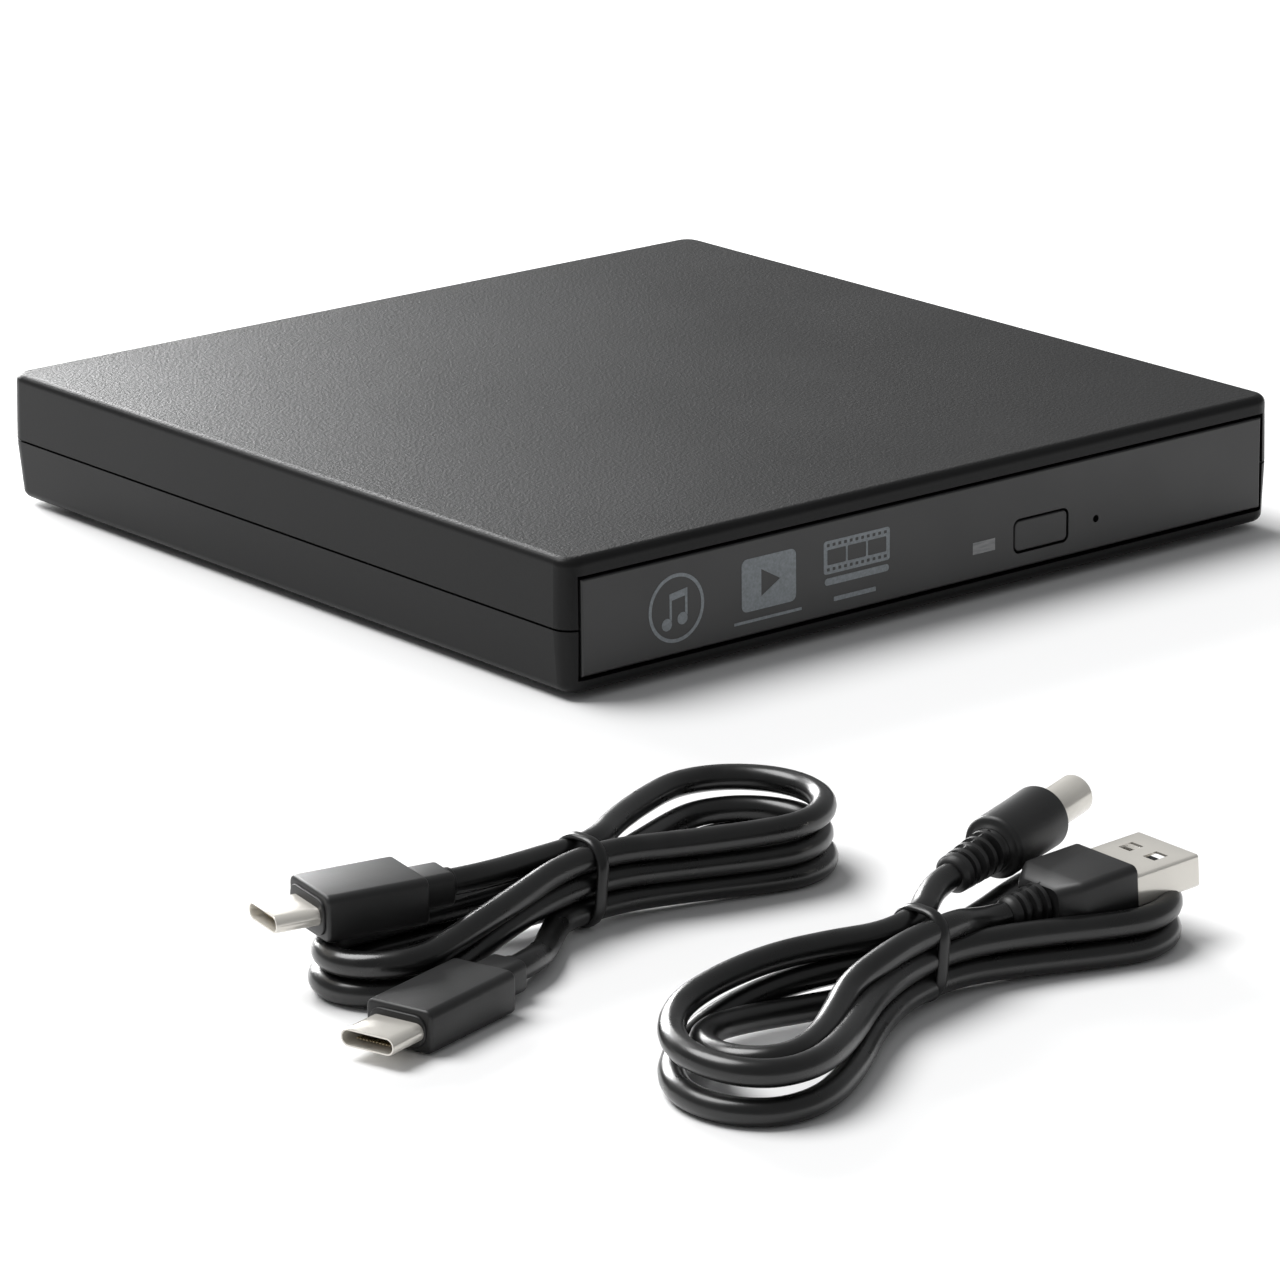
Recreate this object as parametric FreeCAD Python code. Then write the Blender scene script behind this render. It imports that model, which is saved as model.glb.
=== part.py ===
import FreeCAD, Part
import math
import os

V = FreeCAD.Vector

# ---------------------------------------------------------------------------
# External optical drive.  Millimetres, +Z up, origin on the table under the
# middle of the case.  The front panel faces -Y, the sockets face +Y.
# ---------------------------------------------------------------------------

# Disc and mechanism
disc_r = 60.0            # radius of the disc that the tray takes
disc_hole_r = 7.5        # radius of the disc's centre hole
disc_t = 1.2             # thickness of the disc
side_margin = 4.0        # mechanism width beyond the disc, each side
mech_l = 127.0           # length of the mechanism's steel box
mech_h = 12.7            # height of the mechanism's steel box
pan_t = 0.8              # steel of the lower box
lid_t = 0.6              # steel of the lid
tray_travel = 118.0      # how far the tray comes out

# Case
foot_proud = 1.2         # how far the feet stand out under the case
floor_t = 1.8            # thickness of the case's floor
roof_t = 1.8             # thickness of the case's roof
wall_t = 2.0             # thickness of the case's sides
rib_low = 1.85           # ribs between the case's floor and the mechanism
rib_high = 2.65          # room between the mechanism and the roof
side_room = 6.0          # room between the mechanism and each side wall
rear_room = 12.2         # room behind the mechanism for the circuit board
corner_r = 3.2           # upright corners of the case
edge_r = 1.4             # rounding of the top and bottom edges
seam_up = 9.8            # height of the joint line above the case's underside
seam_gap = 0.35          # open groove along the joint line
upper_lean = 0.2         # how far the upper shell's sides lean in
lower_lean = 0.65        # how far the lower shell's sides lean in
lip_h = 1.2              # lip that lines the two shells up
lip_clear = 0.1          # gap between the lip and the upper shell

# Front panel
panel_t = 3.8            # thickness of the tray's front panel
panel_gap = 0.55         # gap all round the panel
panel_setback = 1.0      # room between the panel and the mechanism
border_side = 2.3        # case's rim beside the panel
border_top = 2.8         # case's rim above the panel
border_low = 2.0         # case's rim below the panel
control_up = 8.85        # height of the button's centre above the table
lamp_x = 9.9             # activity lamp
lamp_w = 4.6
lamp_h = 1.9
lamp_up = 8.6
button_x = 21.8          # eject button
button_w = 10.9
button_h = 4.9
button_t = 2.6
button_gap = 0.35
button_travel = 0.6
button_corner = 0.9
pin_x = 33.4             # emergency eject hole
pin_r = 0.6
pin_up = 8.63
pin_port_half = 1.5      # half width of the port behind it

# Tray
tray_side_gap = 3.4      # between the tray's side and the steel box's wall
tray_lift = 0.95         # tray's underside above the steel box's floor
tray_wall = 1.4          # skirt and rim walls
deck_t = 1.2             # floor of the disc well
disc_room = 5.35         # well floor to the inside of the lid
rim_clear = 1.6          # rim's top to the inside of the lid
well_clear = 0.75        # well radius beyond the disc's
tray_end_gap = 2.0       # tray's end to the steel box's rear wall
shield_t = 0.3           # steel sheet under the tray
runner_gap = 0.25        # between the tray's side ribs and the rails' webs
slide_gap = 0.15         # clearance of every sliding face
fold_gap = 0.4           # clearance beside a moving edge
running = 0.05           # radial clearance of shafts

# Rails
rail_t = 0.6             # steel of the telescopic rails
rail_h = 5.8             # height of a rail
rail_l = 116.0           # length of a rail
guide_t = 0.6            # web of the plastic guide
guide_lip = 0.75         # lips of the plastic guide

# Traverse: u runs from the spindle to the front left, v to the front right
seat_up = 0.8            # disc's underside above the well floor
hub_clear = 0.1          # radial clearance of the hub in the disc's hole
hub_chamfer = 0.9
hub_h = 3.2              # hub's height above the disc seat
turntable_r = 13.5
rotor_r = 9.0
shaft_r = 0.75
frame_back = 16.0        # traverse frame's reach along -u
frame_half = 18.0        # half width of the traverse frame
frame_t = 0.7
end_wall = 1.4           # turned-up end of the traverse frame
ear_out = 7.0            # mounting ears beyond the frame's sides
ear_us = (-10.0, 44.0)   # where the ears stand along u
ear_half = 4.0
frame_clear = 0.2        # room round the frame under the well's floor
window_front = 50.0      # opening in the well floor, along +u
window_back = 20.0
window_half = 20.0
slot_half = 7.5          # notch for the lens beyond the window
rod_r = 1.0
rod_up = 2.3             # rod axis above the shield
rod_a = 14.8             # v of the first rod
rod_b = -10.5            # v of the second rod
screw_v = -14.6          # v of the lead screw
screw_lead = 3.0         # sled's travel per turn of the screw
motor_r = 1.85
motor_l = 12.0
lens_in = 22.0           # lens centre at its innermost place
sled_travel = 35.0
pickup_t = 0.3           # steel cover on the sled
sled_back = 12.0         # sled behind the lens
sled_front = 5.0         # sled beyond the lens
lens_r = 2.2
focus_travel = 0.4
claw_count = 3
claw_w = 2.6
claw_travel = 0.5

# Latch
post_x = 36.0            # striker post on the steel box's floor
post_r = 1.0
post_h = 2.75
lane_half = 2.2          # half width of the lane the post needs in the tray
lever_x = 40.5           # pivot of the latch lever
lever_in = 7.8           # pivot behind the tray's front wall
lever_reach = 12.0       # pivot to the striker post, along Y
lever_t = 1.0
pivot_r = 1.0

# Sockets and board
board_t = 1.2
board_half = 60.0
board_up = 2.15          # board above the case's floor
usb_x = 16.0             # USB-C socket
usb_w = 8.94
usb_h = 3.26
usb_l = 7.9
dc_x = 38.0              # power socket
dc_w = 9.0
dc_h = 7.6
dc_l = 10.0
dc_bore_r = 3.0
dc_bore_l = 9.0
dc_nose_t = 0.9
dc_pin_r = 1.0
mouth_clear = 0.25       # wall openings round the sockets
sata_w = 28.0
sata_x = -22.0
sata_h = 4.05
sata_l = 4.0

# Feet and screws
foot_r = 5.5
foot_in = 16.0           # foot centres in from the case's sides
foot_sink = 0.4
screw_x_in = 5.0         # screw centres in from the case's sides
screw_front_in = 15.0
screw_rear_in = 18.0
boss_r = 2.6
screw_r = 1.0
screw_head_r = 2.0
screw_head_h = 1.4
screw_l = 12.0
cover_screw_r = 0.9
cover_head_r = 1.8
cover_head_h = 0.5
slit_half = 0.2          # half width of the screws' cross recess
tab = 4.6                # tabs that take the lid's screws
tab_half = 3.0
cover_screw_in = 3.5     # lid screws in from the ends of the steel box

# Leads
cord_d = 3.6
tie_w = 2.8
tie_t = 1.0
waist_half = 4.2
waist_l = 7.0
waist_top = 11.4
two_turns = 7.4          # height of two turns lying on each other
three_turns = 11.0

# ---------------------------------------------------------------------------
# Places worked out from the sizes above
# ---------------------------------------------------------------------------
mech_w = 2 * (disc_r + side_margin)
case_w = mech_w + 2 * (side_room + wall_t)
case_d = panel_t + panel_setback + mech_l + rear_room + wall_t
case_h = floor_t + rib_low + mech_h + rib_high + roof_t
hub_r = disc_hole_r - hub_clear
x_out = case_w / 2
y_front = -case_d / 2
y_back = case_d / 2
z_low = foot_proud
z_floor = z_low + floor_t
z_mech = z_floor + rib_low
z_lid = z_mech + mech_h
z_roof = z_lid + rib_high
z_top = z_roof + roof_t
z_seam = z_low + seam_up
x_in = x_out - wall_t
y_in = y_back - wall_t

z_pan = z_mech + pan_t
z_under_lid = z_lid - lid_t
y_mech = y_front + panel_t + panel_setback
y_mech_end = y_mech + mech_l
x_mech = mech_w / 2
x_pan = x_mech - pan_t

open_x = x_out - border_side
open_low = z_low + border_low
open_top = z_top - border_top
panel_x = open_x - panel_gap
panel_low = open_low + panel_gap
panel_top = open_top - panel_gap
y_panel = y_front + panel_t

tray_x = x_pan - tray_side_gap
z_tray = z_pan + tray_lift
z_shield = z_tray + shield_t
z_deck = z_under_lid - disc_room
z_deck_low = z_deck - deck_t
z_rim = z_under_lid - rim_clear
tray_end = y_mech_end - pan_t - tray_end_gap
spindle_y = (y_panel + tray_end) / 2
well_r = disc_r + well_clear
skirt_x = tray_x - tray_wall
skirt_y = y_panel + tray_wall
skirt_end = tray_end - tray_wall
z_seat = z_deck + seat_up
z_rod = z_shield + rod_up
z_frame = z_shield + 0.3
z_frame_top = z_frame + frame_t

sled_back_u = lens_in - sled_back
sled_front_u = lens_in + sled_front
bay_end = sled_front_u + sled_travel + fold_gap
frame_front = bay_end + end_wall
z_cover_plate = z_deck - 0.5
sled_z1 = z_cover_plate - 0.5

rail_z0 = z_tray + 2.0
rail_z1 = rail_z0 + rail_h
rail_x1 = x_pan - guide_t - slide_gap
runner_x = rail_x1 - rail_t - runner_gap
lever_y = skirt_y + lever_in
post_y = lever_y + lever_reach
rail_x0 = tray_x + fold_gap

z_board = z_floor + board_up
z_board_top = z_board + board_t


# ---------------------------------------------------------------------------
# Building blocks
# ---------------------------------------------------------------------------
def block(x0, x1, y0, y1, z0, z1):
    """A box between two corners."""
    return Part.makeBox(x1 - x0, y1 - y0, z1 - z0, V(x0, y0, z0))


def post(x, y, z0, z1, r):
    """An upright cylinder."""
    return Part.makeCylinder(r, z1 - z0, V(x, y, z0))


def bar(a, b, r):
    """A cylinder from point a to point b."""
    return Part.makeCylinder(r, (b - a).Length, a, b - a)


def outline(x0, x1, y0, y1, r, z):
    """A rectangle with rounded corners as a closed wire at height z."""
    k = r * (1 - math.sqrt(0.5))
    corners = (
        (V(x1 - r, y0, z), V(x1 - k, y0 + k, z), V(x1, y0 + r, z)),
        (V(x1, y1 - r, z), V(x1 - k, y1 - k, z), V(x1 - r, y1, z)),
        (V(x0 + r, y1, z), V(x0 + k, y1 - k, z), V(x0, y1 - r, z)),
        (V(x0, y0 + r, z), V(x0 + k, y0 + k, z), V(x0 + r, y0, z)),
    )
    edges = []
    for i, (start, middle, end) in enumerate(corners):
        edges.append(Part.Arc(start, middle, end).toShape())
        edges.append(Part.makeLine(end, corners[(i + 1) % 4][0]))
    return Part.Wire(edges)


def prism(x0, x1, y0, y1, r, z0, z1):
    """A rounded rectangle raised from z0 to z1."""
    return Part.Face(outline(x0, x1, y0, y1, r, z0)).extrude(V(0, 0, z1 - z0))


def polygon(points, z0, z1):
    """A flat outline of (x, y) points raised from z0 to z1."""
    ring = [V(x, y, z0) for x, y in points]
    return Part.Face(Part.makePolygon(ring + ring[:1])).extrude(V(0, 0, z1 - z0))


def joined(shapes):
    """All the shapes as one solid."""
    first, rest = shapes[0], shapes[1:]
    if not rest:
        return first
    return first.fuse(rest).removeSplitter()


def edges_at(shape, z):
    """The edges that lie flat at height z."""
    return [e for e in shape.Edges if max(abs(e.BoundBox.ZMin - z), abs(e.BoundBox.ZMax - z)) < 1e-4]


def save(name, *solids):
    """Writes one sub-part: one solid, or a group of separate ones."""
    flat = []
    for shape in solids:
        flat.extend(shape.Solids)
    shape = flat[0] if len(flat) == 1 else Part.makeCompound(flat)
    shape.exportStep("parts/%s.step" % name)
    print("%-24s %d solid(s) %9.1f mm3 valid %s" % (name, len(flat), shape.Volume, shape.isValid()))


# The traverse is drawn square, with u along X and v along Y about the spindle,
# and then turned so that u points to the front left of the tray.
traverse_turn = -135.0
TURN = FreeCAD.Placement(V(0, spindle_y, 0), FreeCAD.Rotation(V(0, 0, 1), traverse_turn))


def turned(shape):
    """Puts a shape drawn in (u, v, z) where the traverse lies in the tray."""
    shape = shape.copy()
    shape.Placement = TURN.multiply(shape.Placement)
    return shape


os.makedirs("parts", exist_ok=True)


# ---------------------------------------------------------------------------
# Case
# ---------------------------------------------------------------------------
def sloped_shell(z_wide, z_narrow, lean):
    """A closed block whose sides lean in towards z_narrow; the front stays upright."""
    wide = outline(-x_out, x_out, y_front, y_back, corner_r, z_wide)
    narrow = outline(-x_out + lean, x_out - lean, y_front, y_back - lean, corner_r, z_narrow)
    body = Part.makeLoft([wide, narrow], True, True)
    return body.makeFillet(edge_r, edges_at(body, z_narrow))


screw_places = [
    (side * (x_out - screw_x_in), y)
    for side in (-1, 1)
    for y in (y_front + screw_front_in, y_back - screw_rear_in)
]
foot_places = [
    (sx * (x_out - foot_in), sy * (y_back - foot_in)) for sx in (-1, 1) for sy in (-1, 1)
]
screw_seat = z_low + screw_head_h + 0.2

usb_z = z_board_top + usb_h / 2
dc_z = z_board_top + dc_h / 2
y_socket = y_back - 1.1                 # sockets' mouths, just inside the rear face

cavity = block(-x_in, x_in, y_front + wall_t, y_in, z_floor, z_roof)
front_opening = block(-open_x, open_x, y_front - 1, y_front + wall_t + 1, open_low, open_top)
usb_hole = prism(-usb_w / 2 - mouth_clear, usb_w / 2 + mouth_clear, -usb_h / 2 - mouth_clear,
                 usb_h / 2 + mouth_clear, usb_h / 2, -1, wall_t + 2)
usb_hole.rotate(V(0, 0, 0), V(1, 0, 0), -90)
usb_hole.translate(V(usb_x, y_in, usb_z))
dc_hole = bar(V(dc_x, y_in - 1, dc_z), V(dc_x, y_back + 1, dc_z), dc_bore_r + dc_nose_t + mouth_clear)
rear_holes = [usb_hole, dc_hole]

# Lip: the inner half of the lower shell's wall rises past the joint line
lip_out = wall_t / 2
lip_ring = prism(-x_out + lip_out, x_out - lip_out, y_front + lip_out, y_back - lip_out,
                 corner_r - lip_out, z_seam - seam_gap, z_seam + lip_h).cut(cavity)
lip_slot = prism(-x_out + lip_out - lip_clear, x_out - lip_out + lip_clear,
                 y_front + lip_out - lip_clear, y_back - lip_out + lip_clear,
                 corner_r - lip_out + lip_clear, z_seam - seam_gap, z_seam + lip_h + lip_clear)

case_top = sloped_shell(z_seam + seam_gap / 2, z_top, upper_lean).cut(cavity)
case_top = case_top.cut([front_opening, lip_slot] + rear_holes)
top_bosses = [post(x, y, z_seam + seam_gap, z_roof, boss_r) for x, y in screw_places]
top_ribs = [
    block(x - 0.7, x + 0.7, y_mech + 8, y_mech_end - 8, z_lid, z_roof)
    for x in (-x_mech * 0.6, 0, x_mech * 0.6)
]
case_top = joined([case_top] + top_bosses + top_ribs)
screw_tip = screw_seat + screw_l
case_top = case_top.cut([post(x, y, z_seam, screw_tip + 0.5, screw_r + running) for x, y in screw_places])
save("case_top", case_top)

case_bottom = sloped_shell(z_seam - seam_gap / 2, z_low, lower_lean).cut(cavity)
low_bosses = [post(x, y, z_floor, z_seam, boss_r) for x, y in screw_places]
low_ribs = [
    block(x - 1, x + 1, y_mech + 3, y_mech_end - 3, z_floor, z_mech) for x in (-x_mech + 3, 0, x_mech - 3)
]
board_posts = [
    post(x, y_in - rear_room / 2 + 0.5, z_floor, z_board, 2.2) for x in (-board_half + 5, 0, board_half - 5)
]
case_bottom = joined([case_bottom, lip_ring] + low_bosses + low_ribs + board_posts)
case_bottom = case_bottom.cut([front_opening] + rear_holes)
case_bottom = case_bottom.cut(
    [post(x, y, z_low - 1, z_seam + 1, screw_r + running) for x, y in screw_places]
    + [post(x, y, z_low - 1, screw_seat, screw_head_r + 0.2) for x, y in screw_places]
    + [post(x, y, z_low - 1, z_low + foot_sink, foot_r) for x, y in foot_places]
)
save("case_bottom", case_bottom)

feet = []
for x, y in foot_places:
    foot = post(x, y, 0, z_low + foot_sink, foot_r)
    feet.append(foot.makeFillet(0.4, edges_at(foot, 0)))
save("rubber_feet", *feet)


def pan_head(x, y, z_seat, head_r, head_h, shank_r, shank_l, up):
    """A screw with its head's seat at z_seat; up is 1 when the shank points up."""
    head = Part.makeCylinder(head_r, head_h, V(x, y, z_seat), V(0, 0, -up))
    shank = Part.makeCylinder(shank_r, shank_l, V(x, y, z_seat), V(0, 0, up))
    reach = 0.6 * head_r
    deep = 0.4 * head_h
    z_face = z_seat - up * head_h
    z0, z1 = sorted((z_face, z_face + up * deep))
    recess = joined([
        block(x - slit_half, x + slit_half, y - reach, y + reach, z0, z1),
        block(x - reach, x + reach, y - slit_half, y + slit_half, z0, z1),
    ])
    return head.fuse(shank).cut(recess)


save("case_screws", *[
    pan_head(x, y, screw_seat, screw_head_r, screw_head_h, screw_r, screw_l, 1) for x, y in screw_places
])

# ---------------------------------------------------------------------------
# Circuit board and sockets at the rear of the case
# ---------------------------------------------------------------------------
y_board = y_in - rear_room + 2.0
y_board_end = y_in - 0.5
board = block(-board_half, board_half, y_board, y_board_end, z_board, z_board_top)
save("bridge_board", board)
chip_y = (y_board + y_board_end) / 2
save(
    "bridge_chips",
    block(-3.5, 3.5, chip_y - 3.5, chip_y + 3.5, z_board_top, z_board_top + 0.9),
    block(-48, -43, chip_y - 2, chip_y + 2, z_board_top, z_board_top + 1.5),
    block(-56, -51, chip_y - 1.6, chip_y + 1.6, z_board_top, z_board_top + 1.1),
    block(26.5, 30.5, chip_y - 2, chip_y + 2, z_board_top, z_board_top + 2.2),
    post(49, chip_y, z_board_top, z_board_top + 5.4, 2.5),
    post(55.5, chip_y, z_board_top, z_board_top + 5.4, 2.5),
)


def upright_slot(w, h, y0, y1, x, z):
    """A bar along Y with a flat-sided, round-ended section, as a USB-C shell has."""
    shape = prism(-w / 2, w / 2, -h / 2, h / 2, h / 2 - 0.01, 0, y1 - y0)
    shape.rotate(V(0, 0, 0), V(1, 0, 0), -90)
    shape.translate(V(x, y0, z))
    return shape


usb_shell_t = 0.3
tongue_half = 3.3
tongue_t = 0.7
usb_shell = upright_slot(usb_w, usb_h, y_socket - usb_l, y_socket, usb_x, usb_z)
usb_room = upright_slot(usb_w - 2 * usb_shell_t, usb_h - 2 * usb_shell_t,
                        y_socket - usb_l + 1.2, y_socket + 1, usb_x, usb_z)
usb_tongue = block(usb_x - tongue_half, usb_x + tongue_half, y_socket - usb_l + 1.0, y_socket - 1.6,
                   usb_z - tongue_t / 2, usb_z + tongue_t / 2)
save("usb_c_socket", joined([usb_shell.cut(usb_room), usb_tongue]))

dc_body = block(dc_x - dc_w / 2, dc_x + dc_w / 2, y_socket - dc_l, y_in - 0.1,
                z_board_top, z_board_top + dc_h)
dc_nose = bar(V(dc_x, y_in - 0.3, dc_z), V(dc_x, y_socket, dc_z), dc_bore_r + dc_nose_t)
dc_bore = bar(V(dc_x, y_socket - dc_bore_l, dc_z), V(dc_x, y_socket + 1, dc_z), dc_bore_r)
save("dc_jack", joined([dc_body, dc_nose]).cut(dc_bore))
save("dc_jack_pin", bar(V(dc_x, y_socket - dc_bore_l, dc_z), V(dc_x, y_socket - 0.8, dc_z), dc_pin_r))

y_mate = y_board + 1.0
sata_z0 = z_board_top
sata_x0, sata_x1 = sata_x - sata_w / 2, sata_x + sata_w / 2
sata_z1 = sata_z0 + sata_h
save("sata_socket", block(sata_x0, sata_x1, y_mate, y_mate + sata_l, sata_z0, sata_z1))
save("sata_plug", block(sata_x0, sata_x1, y_mate - sata_l, y_mate, sata_z0, sata_z1))

# ---------------------------------------------------------------------------
# The mechanism's steel box
# ---------------------------------------------------------------------------
cover_places = [
    (side * (x_pan - tab / 2), y)
    for side in (-1, 1)
    for y in (y_mech + cover_screw_in, y_mech_end - cover_screw_in)
]
pan_outer = block(-x_mech, x_mech, y_mech, y_mech_end, z_mech, z_under_lid)
pan_inner = block(-x_pan, x_pan, y_mech - 1, y_mech_end - pan_t, z_pan, z_under_lid + 1)
chassis = pan_outer.cut(pan_inner)
tabs = []
for x, y in cover_places:
    side = 1 if x > 0 else -1
    low_x, high_x = sorted((x - side * tab / 2, side * x_pan))
    tabs.append(block(low_x, high_x, y - tab_half, y + tab_half, z_under_lid - pan_t, z_under_lid))
chassis = joined([chassis] + tabs)
screw_holes = [post(x, y, z_under_lid - 2, z_lid + 1, cover_screw_r + 0.1) for x, y in cover_places]
window_gap = 0.5
sata_window = block(sata_x0 - window_gap, sata_x1 + window_gap, y_mech_end - pan_t - 1, y_mech_end + 1,
                    z_pan, sata_z1 + 0.3)
save("drive_chassis", chassis.cut(screw_holes + [sata_window]))
lid = block(-x_mech, x_mech, y_mech, y_mech_end, z_under_lid, z_lid)
save("drive_cover", lid.cut(screw_holes))
save("cover_screws", *[
    pan_head(x, y, z_lid, cover_head_r, cover_head_h, cover_screw_r, lid_t + pan_t + 0.4, -1)
    for x, y in cover_places
])

board_low_t = 0.7
drive_board_l = 19.0
drive_board = block(-45, -4, y_mech_end - drive_board_l, y_mech_end - pan_t - 0.1, z_pan, z_pan + board_low_t)
save("drive_board", drive_board)

flex_x0, flex_x1 = -30.0, -16.0
flex_t = 0.2
flex_front = spindle_y - 5.4
flex_rear = y_mech_end - drive_board_l
save("tray_flex", joined([
    block(flex_x0, flex_x1, flex_front, flex_rear, z_pan, z_pan + flex_t),
    block(flex_x0, flex_x1, flex_front, flex_front + flex_t, z_pan, z_pan + 0.7),
    block(flex_x0, flex_x1, flex_front, flex_front + 22, z_pan + 0.7 - flex_t, z_pan + 0.7),
]))

save("latch_post", post(post_x, post_y, z_pan, z_pan + post_h, post_r))


def c_section(side, web_in, web_out, reach, z0, z1, t_web, t_lip, y0, y1):
    """A channel along Y that opens towards the middle of the drive."""
    x0, x1 = sorted((side * reach, side * web_out))
    whole = block(x0, x1, y0, y1, z0, z1)
    h0, h1 = sorted((side * (reach - 1), side * web_in))
    return whole.cut(block(h0, h1, y0 - 1, y1 + 1, z0 + t_lip, z1 - t_lip))


guide_y0, guide_y1 = y_mech + 4, y_mech_end - 9
save("rail_guides", *[
    c_section(side, x_pan - guide_t, x_pan, tray_x + 0.6, rail_z0 - slide_gap - guide_lip,
              rail_z1 + slide_gap + guide_lip, guide_t, guide_lip, guide_y0, guide_y1)
    for side in (-1, 1)
])
rail_y0 = y_mech + 6
for side, name in ((-1, "slide_rail_left"), (1, "slide_rail_right")):
    save(name, c_section(side, rail_x1 - rail_t, rail_x1, rail_x0, rail_z0, rail_z1, rail_t, rail_t,
                         rail_y0, rail_y0 + rail_l))

# ---------------------------------------------------------------------------
# Tray
# ---------------------------------------------------------------------------
well = post(0, spindle_y, z_deck, z_rim + 1, well_r)
pocket_ring = post(0, spindle_y, 0, z_rim + 1, well_r + tray_wall)
shell = prism(-tray_x, tray_x, y_panel, tray_end, 2.0, z_tray, z_rim)
inside = prism(-skirt_x, skirt_x, skirt_y, skirt_end, 1.0, z_tray - 1, z_deck_low)
z_ledge = z_rim - deck_t
corner_pockets = prism(-skirt_x, skirt_x, skirt_y, skirt_end, 1.0, z_tray - 1, z_ledge).cut(pocket_ring)
tray = shell.cut([well, inside, corner_pockets])
shield_posts = [
    post(side * (skirt_x - 4.5), y, z_shield, z_ledge, 2.0)
    for side in (-1, 1)
    for y in (skirt_y + 4.5, skirt_end - 4.5)
]
runners = [
    block(*sorted((side * (tray_x - 0.5), side * runner_x)), y_mech + 8, tray_end - 2,
          rail_z0 + rail_t + slide_gap, rail_z1 - rail_t - slide_gap)
    for side in (-1, 1)
]
ear_places = [(u, side * (frame_half + ear_out / 2 + 1)) for u in ear_us for side in (-1, 1)]
frame_posts = [turned(post(u, v, z_frame_top, z_deck_low, 2.0)) for u, v in ear_places]
pivot_boss = post(lever_x, lever_y, z_frame + 0.2 + lever_t + 0.2, z_ledge, 2.4)
pivot_pin = post(lever_x, lever_y, z_shield, z_ledge, pivot_r)
tray = joined([tray] + shield_posts + runners + frame_posts + [pivot_boss, pivot_pin])
window = turned(block(-window_back, window_front, -window_half, window_half, z_deck_low - 1, z_deck + 1))
lens_notch = turned(block(window_front - 1, frame_front - end_wall, -slot_half, slot_half,
                          z_deck_low - 1, z_rim + 1))
sled_relief = turned(block(window_front - 1, frame_front + frame_clear, -frame_half - frame_clear,
                           frame_half + frame_clear, z_tray, sled_z1 + pickup_t + slide_gap))
button_port = block(button_x - 7.2, button_x + 7.2, y_panel - 1, skirt_y, control_up - 3.2, control_up + 3.2)
lamp_port = block(lamp_x - lamp_w / 2 - 0.2, lamp_x + lamp_w / 2 + 0.2, y_panel - 1, skirt_y,
                  lamp_up - lamp_h / 2 - 0.2, lamp_up + lamp_h / 2 + 0.2)
pin_port = block(pin_x - pin_port_half, pin_x + pin_port_half, y_panel - 1, skirt_y,
                 pin_up - pin_port_half, pin_up + pin_port_half)
lane = block(post_x - lane_half, post_x + lane_half, skirt_end - 1, tray_end + 1,
             z_tray - 1, z_pan + post_h + 0.4)
clip_xs = (-50.0, -32.0, 50.0)
clip_w, clip_h, clip_up = 8.0, 1.2, z_ledge - 1.6
clip_half = clip_w / 2
clip_gap = 0.1
clip_ports = [
    block(x - clip_half - clip_gap, x + clip_half + clip_gap, y_panel - 1, skirt_y,
          clip_up - clip_gap, clip_up + clip_h + clip_gap)
    for x in clip_xs
]
tray = tray.cut([window, lens_notch, sled_relief, button_port, lamp_port, pin_port, lane] + clip_ports)
save("tray", tray)

lane_slot = block(post_x - lane_half, post_x + lane_half, post_y - 4, skirt_end + 1, z_tray - 1, z_shield + 1)
pin_hole = post(lever_x, lever_y, z_tray - 1, z_shield + 1, pivot_r + 0.6)
shield = block(-skirt_x + 0.2, skirt_x - 0.2, skirt_y + 0.2, skirt_end - 0.2, z_tray, z_shield)
save("tray_shield", shield.cut([lane_slot, pin_hole]))

# Front panel with its clips
panel = block(-panel_x, panel_x, y_front, y_panel, panel_low, panel_top)
panel = panel.makeFillet(0.35, [e for e in panel.Edges if abs(e.BoundBox.YMax - y_front) < 1e-4])
hole_w = button_w / 2 + button_gap
hole_h = button_h / 2 + button_gap
button_hole = block(button_x - hole_w, button_x + hole_w, y_front - 1, y_panel + 1,
                    control_up - hole_h, control_up + hole_h)
button_hole = button_hole.makeFillet(
    button_corner + button_gap, [e for e in button_hole.Edges if e.BoundBox.YLength > panel_t])
lamp_hole = block(lamp_x - lamp_w / 2, lamp_x + lamp_w / 2, y_front - 1, y_panel + 1,
                  lamp_up - lamp_h / 2, lamp_up + lamp_h / 2)
eject_hole = bar(V(pin_x, y_front - 1, pin_up), V(pin_x, y_panel + 1, pin_up), pin_r)
clips = [
    block(x - clip_half, x + clip_half, y_panel - 0.5, skirt_y + 1.2, clip_up, clip_up + clip_h)
    for x in clip_xs
]
panel = joined([panel] + clips).cut([button_hole, lamp_hole, eject_hole])
save("front_panel", panel)
save("lamp_lens", block(lamp_x - lamp_w / 2, lamp_x + lamp_w / 2, y_front, skirt_y,
                        lamp_up - lamp_h / 2, lamp_up + lamp_h / 2))

# Eject button, switch and board
button = block(button_x - button_w / 2, button_x + button_w / 2, y_front, y_front + button_t,
               control_up - button_h / 2, control_up + button_h / 2)
button = button.makeFillet(button_corner, [e for e in button.Edges if e.BoundBox.YLength > button_t - 0.01])
button = button.makeFillet(0.25, [e for e in button.Edges if e.BoundBox.YMax < y_front + 0.01])
stem_end = skirt_y + 0.9
catch_half = 6.6         # the catch behind the panel keeps the button in
stem = block(button_x - 1.2, button_x + 1.2, y_front + 1, stem_end, control_up - 1.0, control_up + 1.0)
catch = block(button_x - catch_half, button_x + catch_half, y_panel + 0.1, y_panel + 0.75,
              control_up - 2.2, control_up + 2.2)
save("eject_button", joined([button, stem, catch]))

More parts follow.
